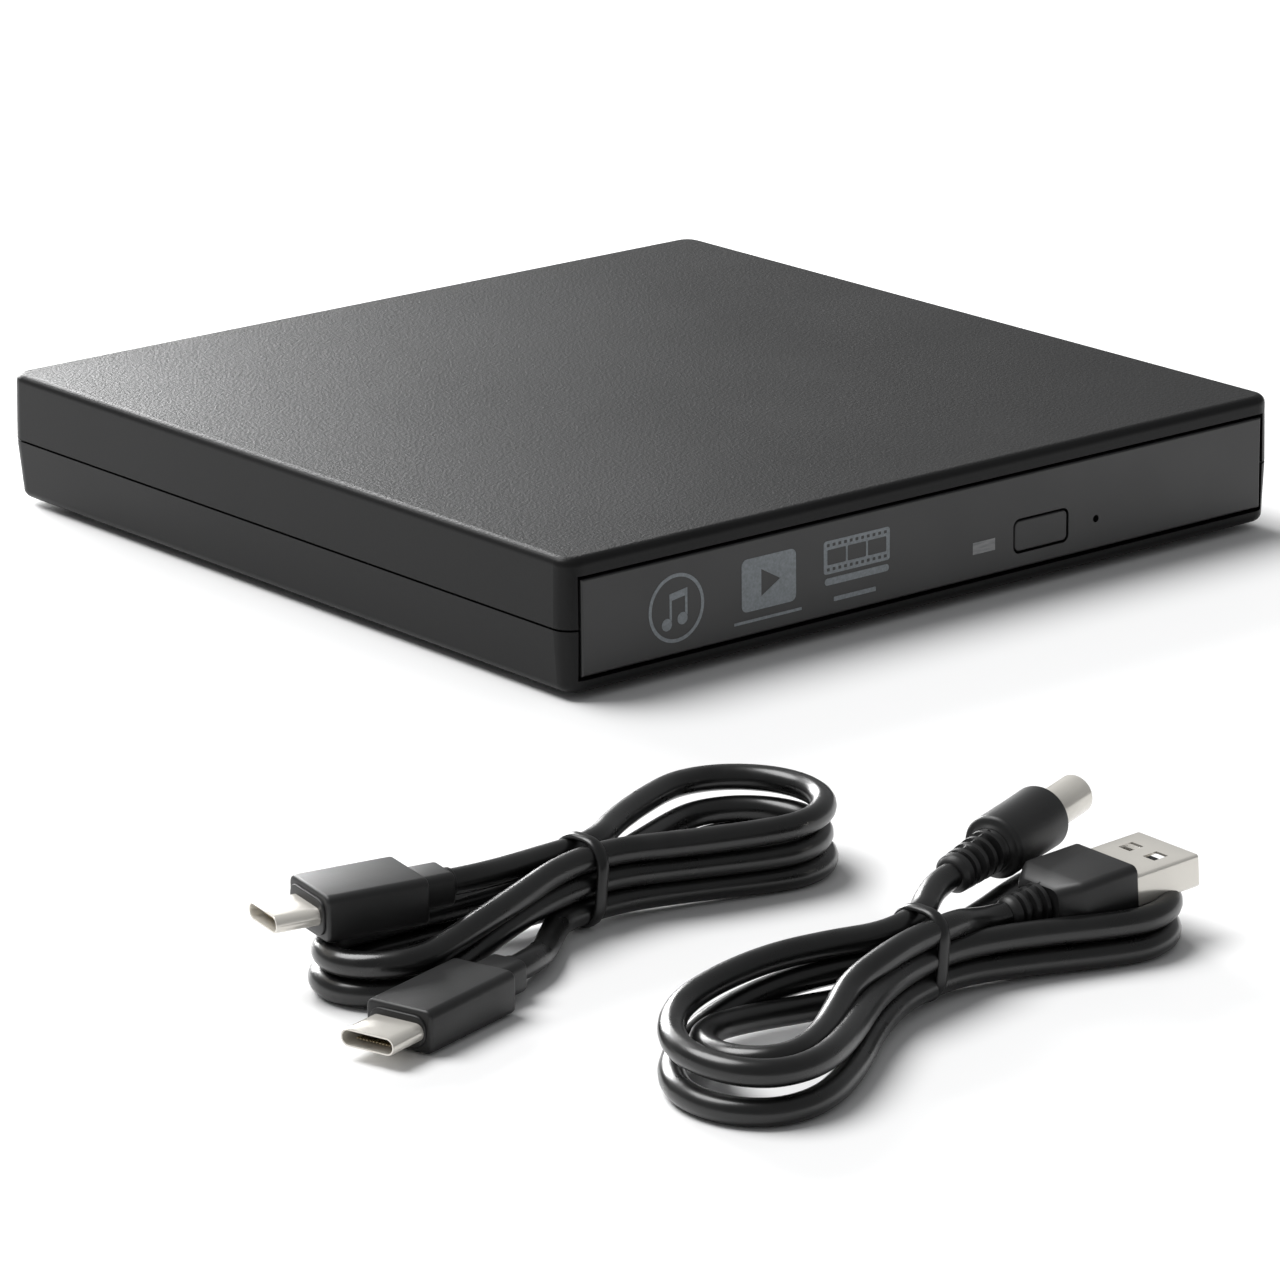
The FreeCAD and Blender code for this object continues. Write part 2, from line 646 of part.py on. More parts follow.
pcb_t = 0.8
z_pcb = z_shield + pcb_t
switch_y = stem_end + button_travel + 0.1
lamp_led = block(lamp_x - 0.9, lamp_x + 0.9, skirt_y + 0.5, skirt_y + 2.0, z_pcb, lamp_up + 0.7)
pcb = block(4, 31, skirt_y + 0.3, skirt_y + 14, z_shield, z_pcb)
save("tray_board", joined([pcb, lamp_led]))
switch_body = block(button_x - 3, button_x + 3, switch_y + 0.6, switch_y + 4.1, z_pcb, z_pcb + 2.6)
switch_nub = bar(V(button_x, switch_y, control_up), V(button_x, switch_y + 0.7, control_up), 1.1)
save("tact_switch", joined([switch_body, switch_nub]))

# Latch
lever_z = z_frame + 0.2
tip_y = post_y + post_r + fold_gap
arm_x = post_x + post_r + 1.6
lever = joined([
    polygon([(arm_x, lever_y), (lever_x + 2.2, lever_y), (lever_x + 1.2, tip_y + 2), (arm_x, tip_y + 2)],
            lever_z, lever_z + lever_t),
    polygon([(post_x - 0.6, tip_y), (arm_x + 1, tip_y), (arm_x + 1, tip_y + 2), (arm_x - 0.4, tip_y + 2)],
            lever_z, lever_z + lever_t),
    post(lever_x, lever_y, lever_z, lever_z + lever_t, 2.4),
    block(pin_x - 1.1, lever_x, lever_y - 2.4, lever_y - 1.0, lever_z, lever_z + lever_t),
    block(pin_x - 1.1, pin_x + 1.2, lever_y - 2.4, lever_y - 1.6, lever_z, pin_up + 1.0),
])
lever = lever.cut(post(lever_x, lever_y, lever_z - 1, lever_z + lever_t + 1, pivot_r + running))
save("latch_lever", lever)
coil = block(45.5, 55.5, lever_y + 4, lever_y + 15, z_shield, z_deck_low - 0.2)
plunger = bar(V(45.5, lever_y + 9, z_shield + 1.7), V(44.6, lever_y + 9, z_shield + 1.7), 0.8)
save("latch_solenoid", joined([coil, plunger]))

# ---------------------------------------------------------------------------
# Traverse: spindle, rods, sled and lens
# ---------------------------------------------------------------------------
cover_plate_t = 0.4
rod_u0 = sled_back_u - 2.0
rod_u1 = frame_front - end_wall
z_wall_top = z_cover_plate - 0.2

plate = block(-frame_back, frame_front, -frame_half, frame_half, z_frame, z_frame_top)
bay = block(sled_back_u - 1.0, bay_end, -frame_half + 1.2, frame_half - 1.2, z_frame - 1, z_frame_top + 1)
ears = [
    block(u - ear_half, u + ear_half, *sorted((side * (frame_half - 1), side * (frame_half + ear_out))),
          z_frame, z_frame_top)
    for u in ear_us
    for side in (-1, 1)
]
end_plate = block(frame_front - end_wall, frame_front, -frame_half, frame_half, z_frame, z_wall_top)
rod_blocks = [
    block(rod_u0 - 1.6, rod_u0, v - 1.6, v + 1.6, z_frame, z_wall_top) for v in (rod_a, rod_b)
]
motor_u0 = sled_back_u - 0.8
bracket_t = 1.4
motor_bracket = block(motor_u0 - bracket_t, motor_u0, screw_v - motor_r, screw_v + motor_r,
                      z_frame, z_rod + motor_r)
screw_u0 = motor_u0 + motor_l
journal_r = 0.5
journal_l = 3.0                 # how far the screw's journal reaches into the motor
end_bore = bar(V(rod_u1 - 1, screw_v, z_rod), V(frame_front + 1, screw_v, z_rod), journal_r + running)
frame = joined([plate.cut(bay), end_plate] + ears + rod_blocks + [motor_bracket])
frame = frame.cut([end_bore, post(0, 0, z_frame - 1, z_frame_top + 1, 3.0)])
save("traverse_frame", turned(frame))

save("guide_rods", *[turned(bar(V(rod_u0, v, z_rod), V(rod_u1, v, z_rod), rod_r)) for v in (rod_a, rod_b)])

motor = bar(V(motor_u0, screw_v, z_rod), V(screw_u0, screw_v, z_rod), motor_r)
motor_bore = bar(V(screw_u0 - journal_l - 0.2, screw_v, z_rod), V(screw_u0 + 1, screw_v, z_rod),
                 journal_r + running)
motor = motor.cut(motor_bore)
save("stepper_motor", turned(motor))

screw_body = bar(V(screw_u0 + 0.3, screw_v, z_rod), V(rod_u1 - 0.3, screw_v, z_rod), 1.0)
screw_shaft = bar(V(screw_u0 - journal_l, screw_v, z_rod), V(frame_front - 0.2, screw_v, z_rod), journal_r)
save("lead_screw", turned(joined([screw_body, screw_shaft])))
print("   the lead screw turns %.0f degrees over the sled's travel" % (360 * sled_travel / screw_lead))

cover = block(-window_back + 0.3, window_front - 0.3, -window_half + 0.3, window_half - 0.3,
              z_cover_plate, z_cover_plate + cover_plate_t)
cover = cover.cut([
    post(0, 0, z_cover_plate - 1, z_deck + 1, turntable_r + 1.2),
    block(0, window_front, -slot_half + 1.0, slot_half - 1.0, z_cover_plate - 1, z_deck + 1),
])
cover_legs = [
    block(u - 1.5, u + 1.5, v - 1.0, v + 1.0, z_frame_top, z_cover_plate)
    for u, v in ((-frame_back + 2.5, -frame_half + 2), (-frame_back + 2.5, frame_half - 2))
]
cover_legs.append(block(window_front - 3.3, window_front - 0.3, frame_half - 0.9, window_half - 0.3,
                        z_frame_top, z_cover_plate))
cover_legs.append(block(window_front - 3.3, window_front - 0.3, -window_half + 0.3, -frame_half + 0.9,
                        z_frame_top, z_cover_plate))
save("traverse_cover", turned(joined([cover] + cover_legs)))


def spun(shape, angle):
    """A copy turned about the spindle's axis before it is placed."""
    shape = shape.copy()
    shape.rotate(V(0, 0, 0), V(0, 0, 1), angle)
    return shape


z_coil = z_frame_top + 0.6
z_cup = z_deck - 0.6
bush_top = z_cup - 0.7
pole_count = 9
pole = block(1.8, rotor_r - 1.6, -1.1, 1.1, z_coil, z_cup - 1.0)
poles = [spun(pole, 360 * i / pole_count) for i in range(pole_count)]
stator = joined([
    post(0, 0, z_frame_top, z_coil, rotor_r + 0.5),
    post(0, 0, z_frame, z_frame_top, 3.0),
    post(0, 0, z_coil, bush_top, 2.0),
] + poles)
stator = stator.cut(post(0, 0, z_frame + 0.4, bush_top + 1, shaft_r + running))
save("spindle_stator", turned(stator))

# Rotor: cup over the coils, turntable, hub with a pocket for each claw
table_t = 0.5
z_table = z_seat - 0.3
z_hub_top = z_seat + hub_h
claw_z0 = z_seat + disc_t + 0.25
claw_z1 = claw_z0 + 0.9
cup = post(0, 0, z_coil + 0.4, z_table, rotor_r).cut(post(0, 0, z_coil, z_cup, rotor_r - 0.8))
turntable = post(0, 0, z_table - table_t, z_table, turntable_r)
hub = post(0, 0, z_table, z_hub_top, hub_r)
hub = hub.makeChamfer(hub_chamfer, edges_at(hub, z_hub_top))
shaft = post(0, 0, z_frame + 0.6, z_cup + 0.1, shaft_r)
rotor = joined([cup, turntable, hub, shaft])
pocket = block(2.6, hub_r + 1, -claw_w / 2 - 0.1, claw_w / 2 + 0.1, claw_z0 - 0.1, claw_z1 + 0.1)
claw_turns = [90 + 360 * i / claw_count for i in range(claw_count)]
rotor = rotor.cut([spun(pocket, a) for a in claw_turns])
save("spindle_rotor", turned(rotor))
ring_w = 2.3                    # width of the rubber ring that the disc sits on
ring_r = turntable_r - 0.3
ring = post(0, 0, z_table, z_seat, ring_r).cut(post(0, 0, z_table - 1, z_seat + 1, ring_r - ring_w))
save("turntable_ring", turned(ring))

nose = post(0, 0, claw_z0, claw_z1, hub_r)
claw_bar = block(2.7 + claw_travel + 0.1, hub_r + 1, -claw_w / 2, claw_w / 2, claw_z0, claw_z1)
for i, angle in enumerate(claw_turns):
    save("chuck_claw_%d" % (i + 1), turned(spun(nose.common(claw_bar), angle)))

# Sled: slides on the rods, carries the laser and the lens
sled_z0 = z_frame + 0.1
rod_bore = rod_r + running
sled_core = block(sled_back_u, sled_front_u, rod_b + 1.8, rod_a - 1.8, sled_z0, sled_z1)
bearing_a = block(sled_back_u, sled_front_u - 2, rod_a - 2.4, rod_a + 1.6, sled_z0, sled_z1)
bearing_b = block(lens_in - 4, sled_front_u, rod_b - 1.7, rod_b + 2.4, sled_z0, sled_z1)
nut_u0 = lens_in + 0.5
nut_arm = block(nut_u0, nut_u0 + 4, screw_v - 1.6, rod_b, z_rod - 0.2, z_rod + 1.6)
sled = joined([sled_core, bearing_a, bearing_b, nut_arm])
lens_u, lens_v = 3.5, 4.5                  # half sizes of the lens holder
lens_bay = block(lens_in - lens_u - 1.1, lens_in + lens_u + 0.9, -lens_v - 1.1, lens_v + 1.1,
                 sled_z0 + 1.0, sled_z1 + 1)
sled = sled.cut([
    bar(V(sled_back_u - 1, rod_a, z_rod), V(sled_front_u + 1, rod_a, z_rod), rod_bore),
    bar(V(sled_back_u - 1, rod_b, z_rod), V(sled_front_u + 1, rod_b, z_rod), rod_bore),
    bar(V(nut_u0 - 1, screw_v, z_rod), V(nut_u0 + 5, screw_v, z_rod), 1.0 + 2 * running),
    post(0, 0, sled_z0 - 1, sled_z1 + 1, rotor_r + 1.4),
    lens_bay,
])
save("pickup_sled", turned(sled))
pickup = block(sled_back_u + 0.4, sled_front_u - 0.3, rod_b + 2.2, rod_a - 2.2, sled_z1, sled_z1 + pickup_t)
pickup = pickup.cut([post(0, 0, sled_z1 - 1, sled_z1 + 2, rotor_r + 1.6), lens_bay])
save("pickup_cover", turned(pickup))

holder_z0 = sled_z0 + 1.0 + focus_travel + 0.3
holder_z1 = z_cover_plate + 0.25
holder = block(lens_in - lens_u, lens_in + lens_u, -lens_v, lens_v, holder_z0, holder_z1)
holder = holder.cut(post(lens_in, 0, holder_z0 - 1, holder_z1 + 1, lens_r - 0.6))
save("lens_holder", turned(holder))
lens_t = 0.55
lens = post(lens_in, 0, holder_z1, holder_z1 + lens_t, lens_r)
save("objective_lens", turned(lens.makeFillet(0.4, edges_at(lens, holder_z1 + lens_t))))


# ---------------------------------------------------------------------------
# Leads: each a tied hank with a short tail to the plug at either end
# ---------------------------------------------------------------------------
def lobe(start, end, half, z_high):
    """One side of a hank: widens from the tie and ends round."""
    way = (end - start)
    way.normalize()
    across = V(-way.y, way.x, 0)
    middle = end - way * half
    corners = [start + across * waist_half, middle + across * half, middle - across * half,
               start - across * waist_half]
    wedge = polygon([(p.x, p.y) for p in corners], 0, z_high)
    return wedge.fuse(post(middle.x, middle.y, 0, z_high, half))


def hank(name, tie, left, right):
    """The tied bundle: left and right are (end point, half width, height)."""
    waist = block(tie.x - waist_l / 2, tie.x + waist_l / 2,
                  tie.y - waist_half, tie.y + waist_half, tie_t, waist_top)
    lobes = []
    for side, (end, half, high) in ((-1, left), (1, right)):
        lobes.append(lobe(V(tie.x + side * waist_l / 2, tie.y, 0), end, half, high))
    save(name + "_hank", joined([waist] + lobes))
    ring_out = prism(tie.y - waist_half - tie_t, tie.y + waist_half + tie_t, 0, waist_top + tie_t, 2.0,
                     tie.x - tie_w / 2, tie.x + tie_w / 2)
    ring_in = prism(tie.y - waist_half, tie.y + waist_half, tie_t, waist_top, 0.01,
                    tie.x - tie_w, tie.x + tie_w)
    ring_shape = ring_out.cut(ring_in)
    # drawn with its section in (x, y) and its length along z: turn to (y, z, x)
    ring_shape.Placement = FreeCAD.Placement(V(0, 0, 0), FreeCAD.Rotation(V(1, 1, 1), 120))
    save(name + "_tie", ring_shape)


def tail(name, points):
    """A round cord through the points: straight runs joined by tangent arcs."""
    edges = []
    radii = []
    length = 0.0
    at = points[0]
    for before, corner, after in zip(points, points[1:], points[2:]):
        run_in = corner - before
        run_out = after - corner
        shorter = min(run_in.Length, run_out.Length)
        run_in.normalize()
        run_out.normalize()
        turn = run_in.getAngle(run_out)
        setback = 0.45 * shorter
        radius = setback / math.tan(turn / 2)
        bisector = run_out - run_in
        bisector.normalize()
        start = corner - run_in * setback
        end = corner + run_out * setback
        middle = corner + bisector * (radius / math.cos(turn / 2) - radius)
        edges.append(Part.LineSegment(at, start).toShape())
        edges.append(Part.Arc(start, middle, end).toShape())
        length += (start - at).Length + radius * turn
        radii.append(radius)
        at = end
    edges.append(Part.LineSegment(at, points[-1]).toShape())
    length += (points[-1] - at).Length
    first = points[1] - points[0]
    section = Part.Wire([Part.Circle(points[0], first, cord_d / 2).toShape()])
    tube = Part.Wire(edges).makePipeShell([section], True, True)
    save(name, tube)
    ideal = math.pi * cord_d ** 2 / 4 * length
    print("   bend radii %s mm, length %.1f mm, volume off by %.2f %%"
          % (["%.1f" % r for r in radii], length, 100 * (tube.Volume / ideal - 1)))


def along(start, way, pieces):
    """Builds a plug from (length, shape maker) pieces laid end to end along way."""
    yaw = math.degrees(math.atan2(way.y, way.x))
    pitch = -math.degrees(math.asin(way.z / way.Length))
    turn = FreeCAD.Rotation(V(0, 0, 1), yaw).multiply(FreeCAD.Rotation(V(0, 1, 0), pitch))
    at = 0.0
    placed = []
    for length, maker in pieces:
        shape = maker(length)
        shape.translate(V(at, 0, 0))
        shape.Placement = FreeCAD.Placement(start, turn).multiply(shape.Placement)
        placed.append(shape)
        at += length
    return placed


def rounded_bar(w, h, r):
    """A maker of bars along +X, w wide and h high with rounded long edges."""
    def maker(length):
        shape = prism(-h / 2, h / 2, -w / 2, w / 2, r, 0, length)
        shape.rotate(V(0, 0, 0), V(0, 1, 0), 90)
        return shape
    return maker


def tube_bar(r, bore):
    """A maker of round bars along +X, hollow from their far end when bore is not zero."""
    def maker(length):
        shape = bar(V(0, 0, 0), V(length, 0, 0), r)
        if bore:
            shape = shape.cut(bar(V(1, 0, 0), V(length + 1, 0, 0), bore))
        return shape
    return maker


def shell_bar(w, h, r, t):
    """A maker of thin metal shells along +X, open at their far end."""
    def maker(length):
        outer = rounded_bar(w, h, r)(length)
        inner = rounded_bar(w - 2 * t, h - 2 * t, max(r - t, 0.05))(length)
        inner.translate(V(1, 0, 0))
        return outer.cut(inner)
    return maker


usb_c_tip = shell_bar(8.25, 2.4, 1.15, 0.3)      # the tip of a USB-C plug: 8.25 x 2.4 mm outside
usb_c_tip_l = 6.5
usb_a_shell = shell_bar(12.0, 4.5, 0.4, 0.4)     # the shell of a USB-A plug: 12 x 4.5 mm outside
usb_a_shell_l = 10.5
barrel_r = 2.75                                  # the round plug: 5.5 mm outside, for a 2 mm pin
barrel_bore_r = 1.05
barrel_l = 9.0

# Data lead: a USB-C plug at each end
data_tie = V(-129.5, -148.0, 0)
hank("data_lead", data_tie,
     (V(-173.5, -149.8, 0), 10.3, two_turns),
     (V(-86.7, -145.0, 0), 12.3, three_turns))

plug_a_way = V(-0.984, 0.179, 0)
plug_a_at = V(-151.5, -147.8, 10.7)
tail("data_lead_tail_a", [data_tie + V(-2.5, -0.4, 9.3), plug_a_at - plug_a_way * 9.5, plug_a_at])
relief_a, housing_a, tip_a = along(plug_a_at, plug_a_way, (
    (5.0, rounded_bar(6.4, 4.6, 1.2)), (14.5, rounded_bar(11.4, 6.4, 1.5)), (usb_c_tip_l, usb_c_tip)))
save("usb_c_plug_a", joined([relief_a, housing_a]))
save("usb_c_plug_a_shell", tip_a)

plug_b_way = V(-0.961, -0.278, 0)
plug_b_at = V(-153.0, -163.0, 3.1)
tail("data_lead_tail_b", [data_tie + V(-1.5, -2.0, 3.0), data_tie + V(-10.0, -8.6, 2.9),
                          plug_b_at - plug_b_way * 6.5, plug_b_at])
relief_b, housing_b, tip_b = along(plug_b_at, plug_b_way, (
    (5.5, rounded_bar(5.8, 4.4, 1.2)), (18.0, rounded_bar(10.2, 5.8, 1.5)), (usb_c_tip_l, usb_c_tip)))
save("usb_c_plug_b", joined([relief_b, housing_b]))
save("usb_c_plug_b_shell", tip_b)

# Power lead: a round power plug at one end and a USB-A plug at the other
power_tie = V(-114.5, -198.0, 0)
hank("power_lead", power_tie,
     (V(-161.5, -213.5, 0), 15.3, three_turns),
     (V(-71.0, -194.5, 0), 12.3, two_turns))

dc_way = V(0.955, 0.285, 0.07)
dc_at = V(-101.0, -189.2, 11.2)
tail("power_lead_tail_a", [power_tie + V(1.0, 1.2, 9.4), dc_at - dc_way * 6.5, dc_at])
relief_c, housing_c, barrel_c = along(dc_at, dc_way, (
    (10.0, tube_bar(3.1, 0)), (12.5, tube_bar(4.4, 0)), (barrel_l, tube_bar(barrel_r, barrel_bore_r))))
save("dc_plug", joined([relief_c, housing_c]))
save("dc_plug_barrel", barrel_c)

usb_a_way = V(0.997, -0.04, 0.06)
usb_a_at = V(-98.4, -197.0, 7.3)
tail("power_lead_tail_b", [power_tie + V(0.5, -2.0, 6.3), power_tie + V(5.6, 0.3, 6.6),
                           usb_a_at - usb_a_way * 5.0, usb_a_at])
relief_d, housing_d, shell_d = along(usb_a_at, usb_a_way, (
    (5.5, tube_bar(3.0, 0)), (11.5, rounded_bar(12.6, 7.4, 1.6)), (usb_a_shell_l, usb_a_shell)))
save("usb_a_plug", joined([relief_d, housing_d]))
save("usb_a_plug_shell", shell_d)
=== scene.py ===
import math

import bmesh
import bpy
import numpy as np
from mathutils import Matrix, Vector


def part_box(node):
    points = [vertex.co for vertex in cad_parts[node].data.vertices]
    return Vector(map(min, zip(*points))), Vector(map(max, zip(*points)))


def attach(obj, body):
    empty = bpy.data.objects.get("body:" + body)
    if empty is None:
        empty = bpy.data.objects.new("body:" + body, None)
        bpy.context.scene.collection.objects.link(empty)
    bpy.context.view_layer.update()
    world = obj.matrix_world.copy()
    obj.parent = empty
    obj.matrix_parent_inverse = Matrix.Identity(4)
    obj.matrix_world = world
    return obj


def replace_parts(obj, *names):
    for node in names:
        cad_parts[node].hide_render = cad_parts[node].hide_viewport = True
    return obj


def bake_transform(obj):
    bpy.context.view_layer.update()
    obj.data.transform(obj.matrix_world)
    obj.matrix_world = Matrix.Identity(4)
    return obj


bl_info = {
    "name": "External optical drive",
    "version": (1, 0, 0),
    "blender": (4, 5, 0),
    "location": "3D View > Sidebar > Optical drive",
    "description": "Finishes a slim external disc drive and its two tied leads",
    "category": "Object",
}

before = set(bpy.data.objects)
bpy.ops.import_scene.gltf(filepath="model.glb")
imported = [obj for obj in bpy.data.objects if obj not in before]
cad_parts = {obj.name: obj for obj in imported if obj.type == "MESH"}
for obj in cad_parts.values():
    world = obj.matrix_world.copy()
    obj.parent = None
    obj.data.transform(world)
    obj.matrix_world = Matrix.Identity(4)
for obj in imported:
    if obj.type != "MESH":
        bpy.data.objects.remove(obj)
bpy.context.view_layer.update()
MM = 0.001


# ---------------------------------------------------------------------------
# Sizes and colours a user may change
# ---------------------------------------------------------------------------
def colour_property(label, what, value):
    return bpy.props.FloatVectorProperty(
        name=label, description=what, default=value, size=3, min=0, max=1, subtype="COLOR")


def length_property(label, what, value):
    return bpy.props.FloatProperty(name=label, description=what, default=value, min=0, unit="LENGTH")


def factor_property(label, what, value):
    return bpy.props.FloatProperty(
        name=label, description=what, default=value, min=0, max=1, subtype="FACTOR")


class CaseSettings(bpy.types.PropertyGroup):
    """Finish of the case and the tray's front panel."""

    plastic: colour_property("Case colour", "Colour of the two case shells", (0.0098, 0.0098, 0.0100))
    panel: colour_property("Panel colour", "Colour of the front panel", (0.016, 0.016, 0.0163))
    ink: colour_property("Ink colour", "Colour of the printed marks", (0.19, 0.21, 0.225))
    grain: length_property("Grain size", "Width of one pebble of the top's grain", 0.00055)
    grain_depth: length_property("Grain depth", "Height of the top's grain", 0.00005)
    roughness: factor_property("Roughness", "How matt the plain sides are", 0.36)


class LeadSettings(bpy.types.PropertyGroup):
    """Sizes and finish of the two leads."""

    diameter: length_property("Cord diameter", "Diameter of both cords", 0.0036)
    cord: colour_property("Cord colour", "Colour of the cords' jacket", (0.004, 0.004, 0.004))
    mould: colour_property("Plug colour", "Colour of the moulded plugs", (0.011, 0.011, 0.0112))
    plating: colour_property("Plating", "Colour of the plugs' bare metal", (0.80, 0.77, 0.71))
    roughness: factor_property("Cord roughness", "How matt the cords are", 0.30)


class StageSettings(bpy.types.PropertyGroup):
    """Floor, lights and camera."""

    floor: colour_property("Floor colour", "Colour of the floor", (0.92, 0.92, 0.92))
    sky: bpy.props.FloatProperty(
        name="Room light", description="Strength of the light from all round", default=0.27, min=0)
    key: bpy.props.FloatProperty(
        name="Key light", description="Strength of the broad light overhead", default=3.1, min=0)
    softbox: bpy.props.FloatProperty(
        name="Softbox", description="Power of the softbox behind the drive", default=8.0, min=0, unit="POWER")


# ---------------------------------------------------------------------------
# Surfaces worked out on grids.  All lengths here are in millimetres.
# ---------------------------------------------------------------------------
def grid_faces(rows, columns, wrap_rows=False, wrap_columns=False):
    """Quads that join point (i, j) to (i + 1, j), (i + 1, j + 1) and (i, j + 1)."""
    i, j = np.meshgrid(
        np.arange(rows if wrap_rows else rows - 1),
        np.arange(columns if wrap_columns else columns - 1), indexing="ij")
    i2 = (i + 1) % rows
    j2 = (j + 1) % columns
    quads = np.stack([i * columns + j, i2 * columns + j, i2 * columns + j2, i * columns + j2], axis=-1)
    return quads.reshape(-1, 4).tolist()


def closed_loft(rings):
    """A solid through rings of points (n, m, 3), closed by a flat face at each end."""
    n, m = rings.shape[:2]
    faces = grid_faces(n, m, wrap_columns=True)
    faces.append(list(range(m)))
    faces.append(list(range((n - 1) * m, n * m))[::-1])
    return rings.reshape(-1, 3), faces


def closed_ring(rings):
    """A solid whose last ring of points joins its first, like a hoop or a tube wall."""
    n, m = rings.shape[:2]
    return rings.reshape(-1, 3), grid_faces(n, m, wrap_rows=True, wrap_columns=True)


def box(x0, x1, y0, y1, z0, z1, edge=0.06):
    """A block between two corners, as a loft up Z whose first and last rings are drawn in by its edge."""
    e = min(edge, 0.45 * min(x1 - x0, y1 - y0, z1 - z0))
    ring = rounded_rectangle(x1 - x0, y1 - y0, e, 2)
    slim = rounded_rectangle(x1 - x0 - 2 * e, y1 - y0 - 2 * e, e * 0.2, 2)
    middle = np.array([(x0 + x1) / 2, (y0 + y1) / 2])
    layers = [(slim, z0), (ring, z0 + e), (ring, z1 - e), (slim, z1)]
    rings = np.stack([np.column_stack([r + middle, np.full(len(r), z)]) for r, z in layers])
    return closed_loft(rings)


def rounded_rectangle(width, height, radius, steps=5):
    """Points round a rectangle with round corners: each corner's centre plus radius times (cos, sin)."""
    radius = min(radius, 0.499 * width, 0.499 * height)
    turn = np.linspace(0, np.pi / 2, steps)[None, :] + np.arange(4)[:, None] * np.pi / 2
    sign = np.array([(1, 1), (-1, 1), (-1, -1), (1, -1)])
    centre = sign * (width / 2 - radius, height / 2 - radius)
    points = centre[:, None, :] + radius * np.stack([np.cos(turn), np.sin(turn)], axis=-1)
    return points.reshape(-1, 2)


def bar_rings(stations, steps=5):
    """Rings along +X: each station is (x, width, height, corner radius)."""
    rings = []
    for x, width, height, radius in stations:
        section = rounded_rectangle(width, height, radius, steps)
        rings.append(np.column_stack([np.full(len(section), x), section]))
    return np.stack(rings)


def soft_bar(x0, x1, width, height, radius, edge):
    """Stations of a bar whose ends are rounded: the section is drawn in by edge * (1 - sin) near each end."""
    turn = np.linspace(0, np.pi / 2, 5)
    draw = edge * (1 - np.sin(turn))
    inset = edge * (1 - np.cos(turn))
    ends = [(x0 + a, width - 2 * d, height - 2 * d, max(radius - d, 0.1)) for a, d in zip(inset, draw)]
    ends += [(x1 - a, width - 2 * d, height - 2 * d, max(radius - d, 0.1))
             for a, d in zip(inset[::-1], draw[::-1])]
    return ends


def turned_solid(profile, around=48, slots=None):
    """A solid turned about +X from (x, r) pairs; slots(x, angle) may change the radius."""
    x, r = np.array(profile, float).T
    angle = np.linspace(0, 2 * np.pi, around, endpoint=False)
    radius = np.repeat(r[:, None], around, axis=1)
    if slots:
        radius = slots(x[:, None], angle[None, :], radius)
    along = np.repeat(x[:, None], around, axis=1)
    return np.stack([along, radius * np.cos(angle), radius * np.sin(angle)], axis=-1)


def swept(path, radius, around=10, closed=False):
    """A round wire along points: at each, a circle square to the way between its neighbours."""
    path = np.array(path, float)
    if closed:
        way = np.roll(path, -1, 0) - np.roll(path, 1, 0)
    else:
        way = np.gradient(path, axis=0)
    way /= np.linalg.norm(way, axis=1)[:, None]
    helper = np.where(np.abs(way[:, 2:3]) > 0.9, [[1.0, 0, 0]], [[0, 0, 1.0]])
    side = np.cross(way, helper)
    side /= np.linalg.norm(side, axis=1)[:, None]
    up = np.cross(side, way)
    angle = np.linspace(0, 2 * np.pi, around, endpoint=False)
    rings = path[:, None] + radius * (
        np.cos(angle)[None, :, None] * side[:, None] + np.sin(angle)[None, :, None] * up[:, None])
    return closed_ring(rings) if closed else closed_loft(rings)


def placed(part, origin, way):
    """Turns a part drawn along +X so that it starts at origin and points along way, its +Z kept upward."""
    points, faces = part
    x = np.array(way, float)
    x /= np.linalg.norm(x)
    y = np.cross([0, 0, 1.0], x)
    y /= np.linalg.norm(y)
    basis = np.stack([x, y, np.cross(x, y)])
    return points @ basis + np.array(origin, float), faces


def build(name, parts, materials, body, sharp=35.0):
    """Makes one object of several closed parts, each (points, faces) or (points, faces, material index)."""
    points, faces, slots = [], [], []
    count = 0
    for part in parts:
        points.append(part[0] * MM)
        faces += [[count + k for k in face] for face in part[1]]
        slots += [part[2] if len(part) > 2 else 0] * len(part[1])
        count += len(part[0])
    mesh = bpy.data.meshes.new(name)
    mesh.from_pydata(np.concatenate(points).tolist(), [], faces)
    mesh.polygons.foreach_set("material_index", slots)
    turn_outward(mesh)
    mesh.shade_smooth()
    mesh.set_sharp_from_angle(angle=math.radians(sharp))
    made = bpy.data.objects.new(name, mesh)
    bpy.context.scene.collection.objects.link(made)
    for material in materials:
        mesh.materials.append(material)
    if body:
        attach(made, body)
    return made


def turn_outward(mesh):
    """Recalculates every closed part's normals outward."""
    work = bmesh.new()
    work.from_mesh(mesh)
    bmesh.ops.recalc_face_normals(work, faces=work.faces)
    work.to_mesh(mesh)
    work.free()


